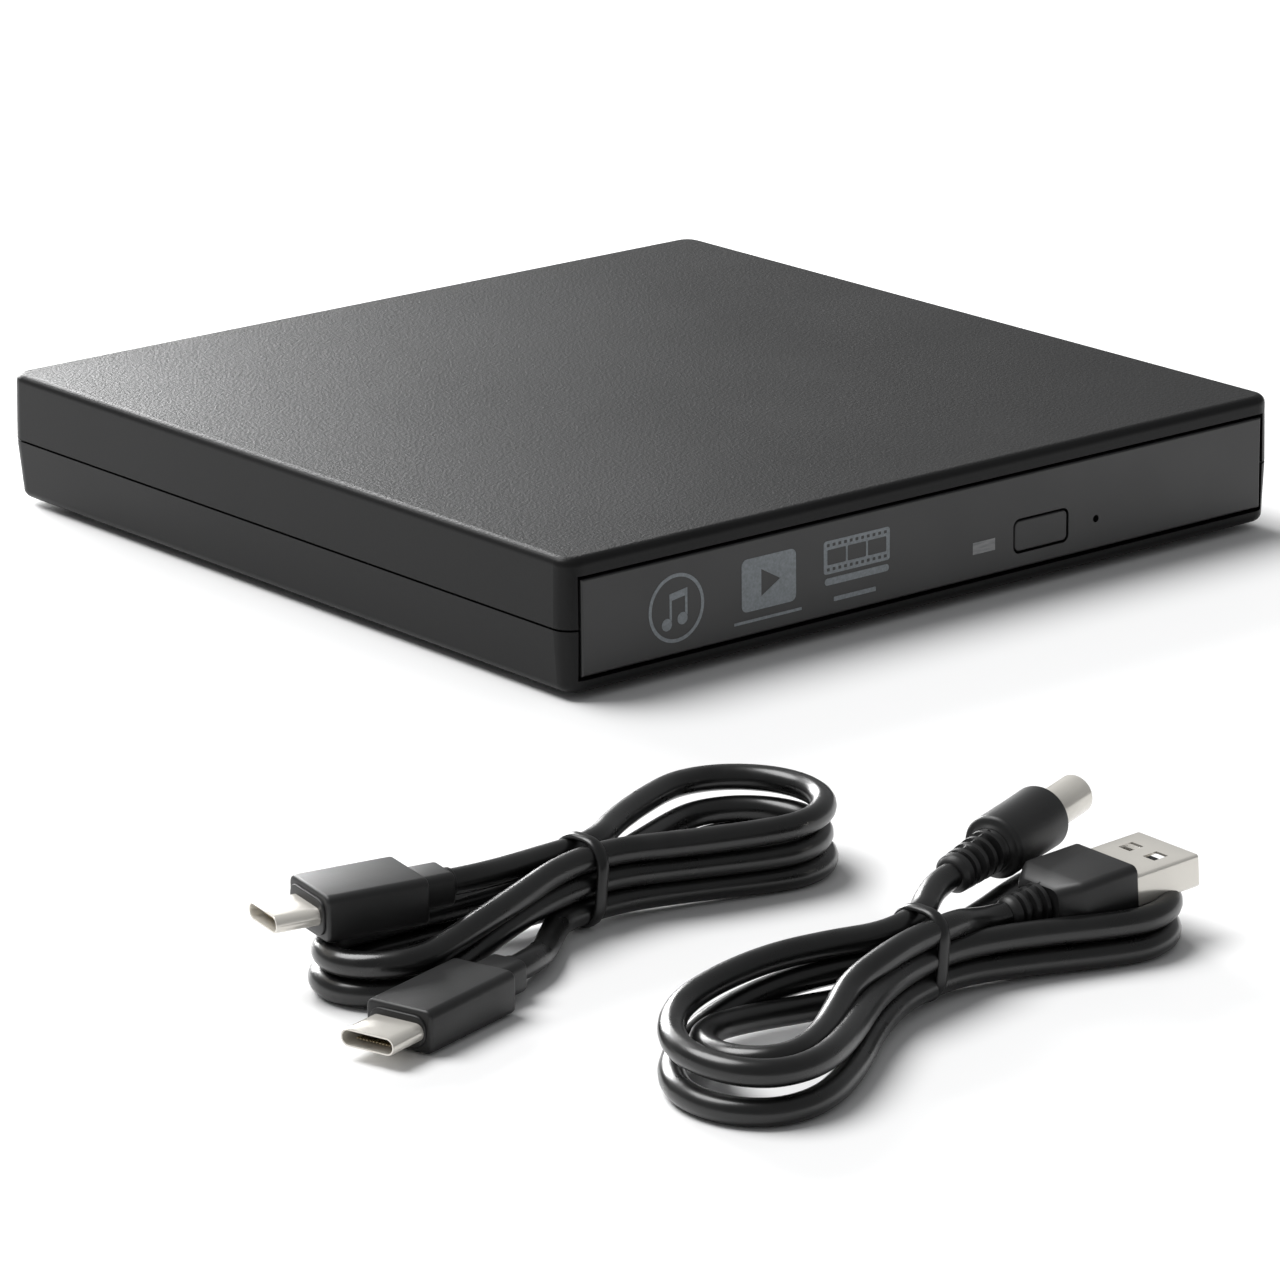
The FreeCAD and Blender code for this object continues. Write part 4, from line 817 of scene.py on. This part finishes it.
class DRIVE_OT_usb_a_plug(bpy.types.Operator):
    """The power lead's flat plug"""

    bl_idname = "drive.usb_a_plug"
    bl_label = "USB-A plug"

    def execute(self, context):
        grip, plating, insulation, gilt = plug_finishes(context.scene.drive_leads)
        at, way = PLUG_USB_AT, PLUG_USB_WAY
        relief, end = 5.5, 17.0
        neck = [(x, 2.3 + 0.7 * x / relief) for x in np.linspace(0.3, relief + 0.8, 44)]
        ribs = turned_solid([(-0.4, 1.85), (-0.1, 2.2)] + neck, 48, ribbed(0.9, 1.55, 3, 0.5, 0.8))
        rows = [(relief - 0.2, 8.0, 5.4, 1.4), (relief + 0.2, 9.0, 6.2, 1.6), (relief + 2.2, 12.0, 7.2, 1.4)]
        rows += soft_bar(relief + 2.6, end, 12.6, 7.4, 1.1, 0.45)[5:]
        rows.insert(3, (relief + 2.8, 12.6, 7.4, 1.2))
        parts = [placed(closed_loft(p), at, way) for p in (ribs, bar_rings(rows))]
        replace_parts(build("usb_a_grip", parts, [grip], "root"), "usb_a_plug")
        sleeve = hollow_bar(end, end + USB_A_SHELL[0], *USB_A_SHELL[1:])
        shell = build("usb_a_shell", [placed(sleeve, at, way)], [plating], "root", 30)
        cutters = []
        for k, (y, z) in enumerate(((-2.4, 2.1), (2.4, 2.1), (-2.4, -2.1), (2.4, -2.1))):
            part = placed(box(end + 5.0, end + 7.4, y - 1.15, y + 1.15, z - 0.6, z + 0.6), at, way)
            cutters.append(build("cutter_%d" % k, [part], [], "root"))
        cut_away(shell, cutters)
        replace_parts(shell, "usb_a_plug_shell")
        tongue = box(end + 0.7, end + 9.9, -5.5, 5.5, -1.8, -0.1, 0.1)
        contacts = [box(end + 1.5, end + 9.0 - (k % 3) * 0.5, y - 0.5, y + 0.5, -0.15, 0.02)
                    for k, y in enumerate((-3.5, -1.0, 1.0, 3.5))]
        inside = [placed(tongue, at, way)] + [(*placed(p, at, way), 1) for p in contacts]
        build("usb_a_tongue", inside, [insulation, gilt], "root")
        return {"FINISHED"}


class DRIVE_OT_lead_facts(bpy.types.Operator):
    bl_idname = "drive.lead_facts"
    bl_label = "Lead facts"

    def execute(self, context):
        return {"FINISHED"}


# ---------------------------------------------------------------------------
# Case and front panel
# ---------------------------------------------------------------------------
def give(material, *nodes):
    """Puts a material on CAD nodes, in place of what they came with."""
    for name in nodes:
        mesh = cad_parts[name].data
        mesh.materials.clear()
        mesh.materials.append(material)


class DRIVE_OT_case(bpy.types.Operator):
    """Finish of the case, panel, button, lamp, feet and screws"""

    bl_idname = "drive.case"
    bl_label = "Case finish"

    def execute(self, context):
        settings = context.scene.drive_case
        give(grained_case("case_plastic", settings.plastic, settings), "case_top", "case_bottom")
        panel = moulded("panel_plastic", settings.panel, 0.34, 0.0004, 0.000004, 0.06)
        give(panel, "front_panel", "eject_button")
        lamp = Finish("lamp_smoke", (0.17, 0.175, 0.18), 0.28)
        lamp.set("Transmission Weight", 0.25)
        lamp.set("Coat Weight", 0.5)
        lamp.tint(lamp.noise(lamp.point((1, 1, 6)), 0.002), (0.13, 0.135, 0.14), (0.24, 0.245, 0.25))
        give(lamp.material, "lamp_lens")
        give(moulded("foot_rubber", (0.02, 0.02, 0.02), 0.75, 0.0006, 0.00002), "rubber_feet")
        give(worked_metal("screw_zinc", (0.62, 0.62, 0.60), 0.3), "case_screws", "cover_screws", "latch_post",
             "guide_rods")
        return {"FINISHED"}


def arc_points(x, y, r, start=0.0, end=360.0, steps=40):
    """Points round a circle or a part of one, angles in degrees."""
    whole = abs(end - start) >= 360
    a = np.radians(np.linspace(start, end, steps, endpoint=not whole))
    return np.column_stack([x + r * np.cos(a), y + r * np.sin(a)])


def rectangle(x0, x1, y0, y1, r=0.15):
    return rounded_rectangle(x1 - x0, y1 - y0, r, 5) + ((x0 + x1) / 2, (y0 + y1) / 2)


def printed(name, outlines, material, at_x, at_z):
    """A flat ink print: closed outlines filled where an odd number of them overlap, and made a mesh.

    The outlines are drawn in (x, z) on the panel's face and the ink stands 0.03 mm proud of it.
    """
    curve = bpy.data.curves.new(name + "_outline", "CURVE")
    curve.dimensions = "2D"
    curve.fill_mode = "BOTH"
    curve.extrude = 0.00002
    for outline in outlines:
        spline = curve.splines.new("POLY")
        spline.points.add(len(outline) - 1)
        flat = np.column_stack([np.array(outline) * MM, np.zeros(len(outline)), np.ones(len(outline))])
        spline.points.foreach_set("co", flat.ravel())
        spline.use_cyclic_u = True
    draft = bpy.data.objects.new(name + "_draft", curve)
    mesh = bpy.data.meshes.new_from_object(draft)
    bpy.data.objects.remove(draft)
    mesh.name = name
    face_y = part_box("front_panel")[0][1]
    lie = Matrix(((1, 0, 0, at_x * MM), (0, 0, 1, face_y - 0.00001), (0, 1, 0, at_z * MM), (0, 0, 0, 1)))
    mesh.transform(lie)
    work = bmesh.new()
    work.from_mesh(mesh)
    bmesh.ops.remove_doubles(work, verts=work.verts, dist=1e-7)
    bmesh.ops.recalc_face_normals(work, faces=work.faces)
    work.to_mesh(mesh)
    work.free()
    mesh.materials.clear()
    mesh.materials.append(material)
    print_piece = bpy.data.objects.new(name, mesh)
    bpy.context.scene.collection.objects.link(print_piece)
    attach(print_piece, "tray")


class DRIVE_OT_marks(bpy.types.Operator):
    """The printed marks on the front panel: a disc with a note, a play sign and a film strip"""

    bl_idname = "drive.marks"
    bl_label = "Panel marks"

    def execute(self, context):
        colour = context.scene.drive_case.ink
        finish = Finish("print_ink", colour, 0.5)
        point = finish.point()
        finish.tint(finish.noise(point, 0.0004), shade(colour, 0.8), shade(colour, 1.15))
        finish.bump(finish.noise(point, 0.0003), 0.000004)
        ink = finish.material
        note = [arc_points(-1.25, -2.3, 0.95), arc_points(1.75, -1.8, 0.95)]
        note.append([(-0.72, -1.44), (-0.3, -1.9), (-0.3, 1.26), (2.25, 1.63), (2.25, -0.92),
                     (2.7, -1.4), (2.7, 2.8), (-0.72, 2.3)])
        circles = [arc_points(0, 0, radius, steps=64) for radius in (5.3, 4.75)]
        printed("mark_disc", circles, ink, -51.3, 10.9)
        for k, shape in enumerate(note):
            printed("mark_note_%d" % k, [shape], ink, -51.9, 10.9)
        play = np.array([(-1.5, -2.1), (2.2, 0), (-1.5, 2.1)])
        printed("mark_play", [rectangle(-5.3, 5.3, -4.1, 4.1, 1.0), play], ink, -33.4, 11.6)
        printed("mark_play_line", [rectangle(-6.6, 6.6, -0.22, 0.22, 0.1)], ink, -33.6, 6.0)
        film = [rectangle(-6.6, 6.6, -2.6, 2.6, 0.5), rectangle(-5.9, -2.2, -1.2, 1.2, 0.2),
                rectangle(-1.85, 1.85, -1.2, 1.2, 0.2), rectangle(2.2, 5.9, -1.2, 1.2, 0.2)]
        for row in (-1.9, 1.9):
            film += [rectangle(x - 0.3, x + 0.3, row - 0.25, row + 0.25, 0.08)
                     for x in np.arange(-5.7, 5.8, 1.14)]
        printed("mark_film", film, ink, -16.0, 12.9)
        printed("mark_film_bar", [rectangle(-6.4, 6.4, -0.55, 0.55, 0.5)], ink, -16.0, 9.1)
        printed("mark_film_line", [rectangle(-4.2, 4.2, -0.35, 0.35, 0.15)], ink, -16.4, 6.2)
        return {"FINISHED"}


# ---------------------------------------------------------------------------
# Inside the drive
# ---------------------------------------------------------------------------
def node_box(name):
    """A CAD node's lowest and highest corners, in millimetres."""
    low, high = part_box(name)
    return np.array(low) / MM, np.array(high) / MM


SPINDLE = (np.array(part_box("turntable_ring")).sum(axis=0) / 2 / MM)[:2]
SLANT = math.sqrt(0.5)           # the traverse lies at 45 degrees across the tray


def traverse(u, v, z):
    """A point of the traverse: u runs outward along the rods, v across them."""
    u, v, z = np.broadcast_arrays(*(np.asarray(k, float) for k in (u, v, z)))
    return np.stack([SPINDLE[0] + SLANT * (v - u), SPINDLE[1] - SLANT * (u + v), z], axis=-1)


def circuit_board(name):
    """Green lacquer over copper tracks: tracks stand a little proud and show a lighter green."""
    finish = Finish(name, (0.01, 0.09, 0.035), 0.32)
    point = finish.point()
    brick = finish.add("TexBrick", Scale=320, Mortar_Size=0.035, Color1=(0, 0, 0, 1),
                       Color2=(0.15, 0.15, 0.15, 1), Mortar=(1, 1, 1, 1))
    finish.links.new(point, brick.inputs["Vector"])
    patch = finish.noise(point, 0.006, 1.0)
    tracks = finish.maths("MULTIPLY", brick.outputs["Color"], finish.ranged(patch, 0, 1, (0.42, 0.58)))
    finish.tint(tracks, (0.006, 0.062, 0.026), (0.03, 0.17, 0.06))
    finish.bump(tracks, 0.00003)
    return finish.material


def flexible_film(name):
    """Amber film with copper tracks running along it."""
    finish = Finish(name, (0.45, 0.2, 0.05), 0.3)
    wave = finish.add("TexWave", Scale=330, Distortion=0)
    wave.bands_direction = "X"
    finish.links.new(finish.point(), wave.inputs["Vector"])
    finish.tint(wave.outputs["Fac"], (0.30, 0.105, 0.018), (0.62, 0.30, 0.10))
    finish.bump(wave.outputs["Fac"], 0.00002)
    finish.set("Coat Weight", 0.4)
    return finish.material


class DRIVE_OT_mechanism(bpy.types.Operator):
    """Finish of the steel box, the tray and everything that rides on it"""

    bl_idname = "drive.mechanism"
    bl_label = "Mechanism finish"

    def execute(self, context):
        steel = worked_metal("zinc_steel", (0.56, 0.57, 0.57), 0.33, (18, 1, 18), 0.02, 0.000006)
        give(steel, "drive_chassis", "drive_cover", "tray_shield", "traverse_frame", "pickup_cover")
        give(worked_metal("rail_steel", (0.66, 0.66, 0.64), 0.24, (40, 1, 40), 0.02), "slide_rail_left",
             "slide_rail_right")
        give(moulded("tray_plastic", (0.028, 0.028, 0.029), 0.5, 0.0005, 0.000014), "tray", "traverse_cover")
        give(moulded("rail_guide_acetal", (0.045, 0.045, 0.047), 0.42), "rail_guides")
        give(moulded("latch_acetal", (0.72, 0.70, 0.64), 0.36, vary=0.05), "latch_lever")
        give(moulded("hub_plastic", (0.05, 0.05, 0.052), 0.34), "spindle_rotor")
        give(moulded("claw_plastic", (0.075, 0.075, 0.078), 0.3),
             "chuck_claw_1", "chuck_claw_2", "chuck_claw_3")
        give(moulded("seat_rubber", (0.022, 0.022, 0.023), 0.8, 0.0004, 0.00002), "turntable_ring")
        give(worked_metal("cast_zinc", (0.48, 0.48, 0.49), 0.46, (1, 1, 1), 0.0008, 0.00002), "pickup_sled")
        give(moulded("lens_holder_plastic", (0.03, 0.03, 0.032), 0.4), "lens_holder")
        give(worked_metal("motor_can", (0.52, 0.52, 0.51), 0.28, (1, 1, 30), 0.01), "stepper_motor")
        give(worked_metal("iron_lamination", (0.42, 0.42, 0.43), 0.42, (1, 1, 40), 0.004), "spindle_stator")
        give(moulded("coil_former", (0.10, 0.045, 0.02), 0.5), "latch_solenoid")
        lens = Finish("lens_glass", (0.75, 0.85, 1.0), 0.05)
        lens.set("Transmission Weight", 0.85)
        lens.set("Coat Weight", 0.6)
        lens.tint(lens.noise(lens.point(), 0.003), (0.55, 0.68, 1.0), (0.85, 0.80, 1.0))
        give(lens.material, "objective_lens")
        return {"FINISHED"}


class DRIVE_OT_lead_screw(bpy.types.Operator):
    """The threaded screw that drives the sled"""

    bl_idname = "drive.lead_screw"
    bl_label = "Lead screw"

    def execute(self, context):
        low, high = node_box("lead_screw")
        journal, outside, depth, lead, starts = 0.5, 1.0, 0.22, 3.0, 2
        v = -14.6
        u0 = v - (high[0] - SPINDLE[0]) / SLANT + journal
        u1 = v - (low[0] - SPINDLE[0]) / SLANT - journal
        begin, end = u0 + 3.4, u1 - 1.5
        z = (low[2] + high[2]) / 2

        def thread(x, angle, radius):
            """A rounded groove: depth * (1 - cos)^3 / 8 of the turn that x and the angle give."""
            turn = starts * (x / lead + angle / (2 * np.pi))
            groove = depth * ((1 - np.cos(2 * np.pi * turn)) / 2) ** 3
            return radius - groove * ((radius > outside - 0.01) & (x > begin + 0.4) & (x < end - 0.4))

        body = np.linspace(begin + 0.1, end - 0.1, 330)
        profile = [(u0, journal - 0.08), (u0 + 0.08, journal), (begin, journal), (begin, outside - 0.1)]
        profile += [(x, outside) for x in body]
        profile += [(end, outside - 0.1), (end, journal), (u1 - 0.08, journal), (u1, journal - 0.08)]
        rings = turned_solid(profile, 24, thread)
        points, faces = closed_loft(traverse(rings[..., 0], v + rings[..., 1], z + rings[..., 2]))
        metal = worked_metal("screw_bright", (0.70, 0.69, 0.66), 0.2, (1, 1, 1), 0.002, 0.000002)
        screw = build("threaded_screw", [(points, faces)], [metal], "lead_screw")
        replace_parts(screw, "lead_screw")
        return {"FINISHED"}


class DRIVE_OT_windings(bpy.types.Operator):
    """Copper windings of the spindle motor and the latch solenoid"""

    bl_idname = "drive.windings"
    bl_label = "Windings"

    def execute(self, context):
        finish = Finish("winding_copper", (0.62, 0.22, 0.09), 0.25, metallic=0.9)
        point = finish.point()
        finish.tint(finish.noise(point, 0.001), (0.42, 0.13, 0.05), (0.72, 0.28, 0.12))
        finish.bump(finish.noise(point, 0.0002), 0.000004)
        copper = finish.material
        base = node_box("spindle_stator")[0][2] + 1.3
        turns = []
        section = rounded_rectangle(2.55, 1.75, 0.35, 4)
        for k in range(9):
            angle = 2 * math.pi * k / 9
            out = np.array([math.cos(angle), math.sin(angle)])
            side = np.array([-out[1], out[0]])
            for r in np.arange(3.2, 6.9, 0.42):
                uv = r * out + section[:, :1] * side
                turns.append(swept(traverse(uv[:, 0], uv[:, 1], base + 0.72 + section[:, 1]), 0.2, 6, True))
        build("spindle_windings", turns, [copper], "tray", 60)
        low, high = node_box("latch_solenoid")
        y, z = (low[1] + high[1]) / 2, (low[2] + high[2]) / 2
        loop = rounded_rectangle(high[1] - low[1], high[2] - low[2] - 0.3, 0.4, 3)
        turns = []
        for x in np.arange(high[0] - 9.0, high[0] - 0.8, 0.26):
            path = np.column_stack([np.full(len(loop), x), y + loop[:, 0], z + loop[:, 1]])
            turns.append(swept(path, 0.13, 6, True))
        build("solenoid_winding", turns, [copper], "tray", 60)
        return {"FINISHED"}


class DRIVE_OT_ribbon(bpy.types.Operator):
    """The flat cable that folds back under the tray, drawn in one fixed shape"""

    bl_idname = "drive.ribbon"
    bl_label = "Ribbon cable"

    def execute(self, context):
        low, high = node_box("tray_flex")
        half = (high[2] - low[2]) / 2 - 0.1
        middle = (low[2] + high[2]) / 2
        runs = np.linspace(high[1], low[1] + 1.0, 40)
        turn = np.linspace(0, np.pi, 33)[1:-1]
        y = np.concatenate([runs, low[1] + 1.0 - 0.6 * np.sin(turn), runs[::-1][:-4]])
        z = middle + np.concatenate([np.full(40, -half), -half * np.cos(turn), np.full(36, half)])
        way = np.column_stack([np.gradient(y), np.gradient(z)])
        way /= np.linalg.norm(way, axis=1)[:, None]
        across = rounded_rectangle(high[0] - low[0] - 0.2, 0.1, 0.04, 3)
        rings = np.zeros((len(y), len(across), 3))
        rings[..., 0] = (low[0] + high[0]) / 2 + across[None, :, 0]
        rings[..., 1] = y[:, None] - across[None, :, 1] * way[:, 1:]
        rings[..., 2] = z[:, None] + across[None, :, 1] * way[:, :1]
        ribbon = build("tray_ribbon", [closed_loft(rings)], [flexible_film("amber_film")], None)
        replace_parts(ribbon, "tray_flex")
        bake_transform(ribbon)
        return {"FINISHED"}


class DRIVE_OT_lens_wires(bpy.types.Operator):
    """The fine wires that carry the lens holder, and the clips they are soldered to"""

    bl_idname = "drive.lens_wires"
    bl_label = "Lens wires"

    def execute(self, context):
        gilt = plug_finishes(context.scene.drive_leads)[3]
        low, high = node_box("lens_holder")
        lens = ((low + high) / 2)[:2] - SPINDLE
        at = -(lens[0] + lens[1]) / (2 * SLANT)
        wires, ears = [], []
        for v in (-4.95, 4.95):
            for z in (low[2] + 0.7, high[2] - 0.8):
                wires.append(swept(traverse(at + np.linspace(-1.6, 4.35, 12), v, z), 0.06, 6))
                near, far = sorted((v, v * 0.86))
                points, faces = box(at - 2.3, at - 1.2, near, far, z - 0.28, z + 0.28)
                ears.append((traverse(points[:, 0], points[:, 1], points[:, 2]), faces))
        build("lens_ears", ears, [bpy.data.materials["lens_holder_plastic"]], "lens")
        spring = build("lens_wires", wires, [gilt], None)
        z = (low[2] + high[2]) / 2
        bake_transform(spring)
        return {"FINISHED"}


def pin_rows(x0, x1, y0, y1, z, pitch, reach=0.7):
    """Gull legs along the two long sides of a chip: flat foot, slope and shoulder swept as one strip."""
    legs = []
    for side, edge in ((-1, y0), (1, y1)):
        out = np.array([(-0.25, 0.62), (0.12, 0.62), (0.32, 0.10), (reach, 0.06)])
        for x in np.arange(x0 + pitch / 2, x1 - pitch * 0.3, pitch):
            rings = np.zeros((4, 8, 3))
            strip = rounded_rectangle(0.24, 0.1, 0.03, 2)
            rings[..., 0] = x + strip[None, :, 0]
            rings[..., 1] = edge + side * out[:, :1]
            rings[..., 2] = z + out[:, 1:] + strip[None, :, 1]
            legs.append(closed_loft(rings))
    return legs


class DRIVE_OT_electronics(bpy.types.Operator):
    """Boards, chips, sockets and the small parts soldered round them"""

    bl_idname = "drive.electronics"
    bl_label = "Electronics"

    def execute(self, context):
        gilt = plug_finishes(context.scene.drive_leads)[3]
        give(circuit_board("board_lacquer"), "bridge_board", "drive_board", "tray_board")
        give(moulded("chip_epoxy", (0.018, 0.018, 0.019), 0.55, 0.00025, 0.00001),
             "bridge_chips", "tact_switch")
        give(moulded("socket_plastic", (0.02, 0.02, 0.02), 0.42), "dc_jack", "sata_socket", "sata_plug")
        tin = worked_metal("socket_tin", (0.70, 0.69, 0.67), 0.24, (30, 1, 30), 0.008)
        give(tin, "usb_c_socket", "dc_jack_pin")
        self.fill_bridge_board(tin)
        self.fill_tray_board(tin)
        self.line_usb_socket(gilt)
        return {"FINISHED"}

    def small_parts(self, places, z):
        """Two-ended parts: a ceramic body and a tinned cap at each end, laid along X or Y."""
        parts = []
        for x, y, length, width, tall, along_y in places:
            a, b = (width, length) if along_y else (length, width)
            parts.append((*box(x - a / 2, x + a / 2, y - b / 2, y + b / 2, z, z + tall), 0))
            for side in (-1, 1):
                cx = x if along_y else x + side * (length / 2 - 0.12)
                cy = y + side * (length / 2 - 0.12) if along_y else y
                ca, cb = (width + 0.04, 0.34) if along_y else (0.34, width + 0.04)
                cap = box(cx - ca / 2, cx + ca / 2, cy - cb / 2, cy + cb / 2, z, z + tall + 0.03)
                parts.append((*cap, 1))
        return parts

    def fill_bridge_board(self, tin):
        low, high = node_box("bridge_board")
        top, y0, y1 = high[2], low[1], high[1]
        middle = (node_box("bridge_chips")[0][1] + node_box("bridge_chips")[1][1]) / 2
        legs = pin_rows(-48, -43, middle - 2, middle + 2, top, 1.27)
        legs += pin_rows(-56, -51, middle - 1.6, middle + 1.6, top, 1.27)
        legs += pin_rows(-3.5, 3.5, middle - 3.5, middle + 3.5, top, 0.5, 0.55)
        build("bridge_legs", legs, [tin], "root")
        places = [(x, y0 + 1.3, 1.0, 0.55, 0.45, True) for x in np.arange(-41.5, -37.0, 1.3)]
        places += [(x, middle + dy, 1.0, 0.55, 0.45, True)
                   for x in (5.6, 6.9, 8.2, 9.5) for dy in (-2.4, 1.9)]
        places += [(x, middle + 0.6, 1.6, 0.8, 0.8, True) for x in (23.2, 24.8, 44.4, 45.7)]
        places += [(x, y1 - 1.4, 1.0, 0.55, 0.45, False) for x in (-30.0, -26.5, -18.0, -12.5)]
        ceramic = moulded("ceramic", (0.36, 0.27, 0.18), 0.5, 0.0002, 0.000004)
        build("bridge_small_parts", self.small_parts(places, top), [ceramic, tin], "root")
        can = turned_solid([(0, 1.2), (0.1, 1.5), (0.9, 1.5), (1.0, 1.35)], 32)
        can = np.stack([-5.9 + 0.95 * can[..., 1] * 1.3, middle + can[..., 2], top + can[..., 0]], axis=-1)
        build("bridge_crystal", [closed_loft(can)], [tin], "root")

    def fill_tray_board(self, tin):
        low, high = node_box("tray_board")
        top = low[2] + 0.8
        body = box(low[0] + 4, low[0] + 14, high[1] - 4.2, high[1] - 1.0, top, top + 1.1, 0.12)
        legs = [(*box(x - 0.1, x + 0.1, high[1] - 1.1, high[1] - 0.45, top, top + 0.12, 0.03), 1)
                for x in np.arange(low[0] + 4.8, low[0] + 13.4, 0.5)]
        ivory = moulded("ivory_connector", (0.62, 0.58, 0.48), 0.4, vary=0.05)
        build("tray_connector", [(*body, 0)] + legs, [ivory, tin], "tray")
        places = [(low[0] + 16.5 + 1.4 * k, high[1] - 3.2, 1.0, 0.55, 0.45, True) for k in range(5)]
        places += [(low[0] + 3.0 + 1.5 * k, low[1] + 6.4, 1.0, 0.55, 0.45, False) for k in (0, 1.2, 3.4)]
        build("tray_small_parts", self.small_parts(places, top), [bpy.data.materials["ceramic"], tin], "tray")

    def line_usb_socket(self, gilt):
        low, high = node_box("usb_c_socket")
        x, z = (low[0] + high[0]) / 2, (low[2] + high[2]) / 2
        strips = []
        for k in range(12):
            at = x + (k - 5.5) * 0.5
            for side in (-1, 1):
                z0, z1 = sorted((z + side * 0.33, z + side * 0.40))
                front = high[1] - 1.9 - 0.4 * (k % 3 == 1)
                strips.append(box(at - 0.13, at + 0.13, high[1] - 5.8, front, z0, z1, 0.02))
        build("usb_socket_contacts", strips, [gilt], "root")


# ---------------------------------------------------------------------------
# Panel in the sidebar, and running the whole build
# ---------------------------------------------------------------------------
OPERATORS = (
    DRIVE_OT_stage,
    DRIVE_OT_cords,
    DRIVE_OT_ties,
    DRIVE_OT_usb_c_plugs,
    DRIVE_OT_power_plug,
    DRIVE_OT_usb_a_plug,
    DRIVE_OT_lead_facts,
    DRIVE_OT_case,
    DRIVE_OT_marks,
    DRIVE_OT_mechanism,
    DRIVE_OT_lead_screw,
    DRIVE_OT_windings,
    DRIVE_OT_ribbon,
    DRIVE_OT_lens_wires,
    DRIVE_OT_electronics,
)
SETTINGS = (
    ("drive_case", CaseSettings),
    ("drive_leads", LeadSettings),
    ("drive_stage", StageSettings),
)


class DRIVE_PT_build(bpy.types.Panel):
    """Lists the drive's settings and its pieces"""

    bl_idname = "DRIVE_PT_build"
    bl_label = "Optical drive"
    bl_space_type = "VIEW_3D"
    bl_region_type = "UI"
    bl_category = "Optical drive"

    def draw(self, context):
        for name, group in SETTINGS:
            settings = getattr(context.scene, name)
            for field in group.__annotations__:
                self.layout.prop(settings, field)
        for operator in OPERATORS:
            self.layout.operator(operator.bl_idname)


def register():
    for name, group in SETTINGS:
        bpy.utils.register_class(group)
        setattr(bpy.types.Scene, name, bpy.props.PointerProperty(type=group))
    for each in (*OPERATORS, DRIVE_PT_build):
        bpy.utils.register_class(each)


def unregister():
    for each in (DRIVE_PT_build, *reversed(OPERATORS)):
        bpy.utils.unregister_class(each)
    for name, group in reversed(SETTINGS):
        delattr(bpy.types.Scene, name)
        bpy.utils.unregister_class(group)


def main():
    register()
    for operator in OPERATORS:
        area, action = operator.bl_idname.split(".")
        getattr(getattr(bpy.ops, area), action)()


if __name__ == "__main__":
    main()
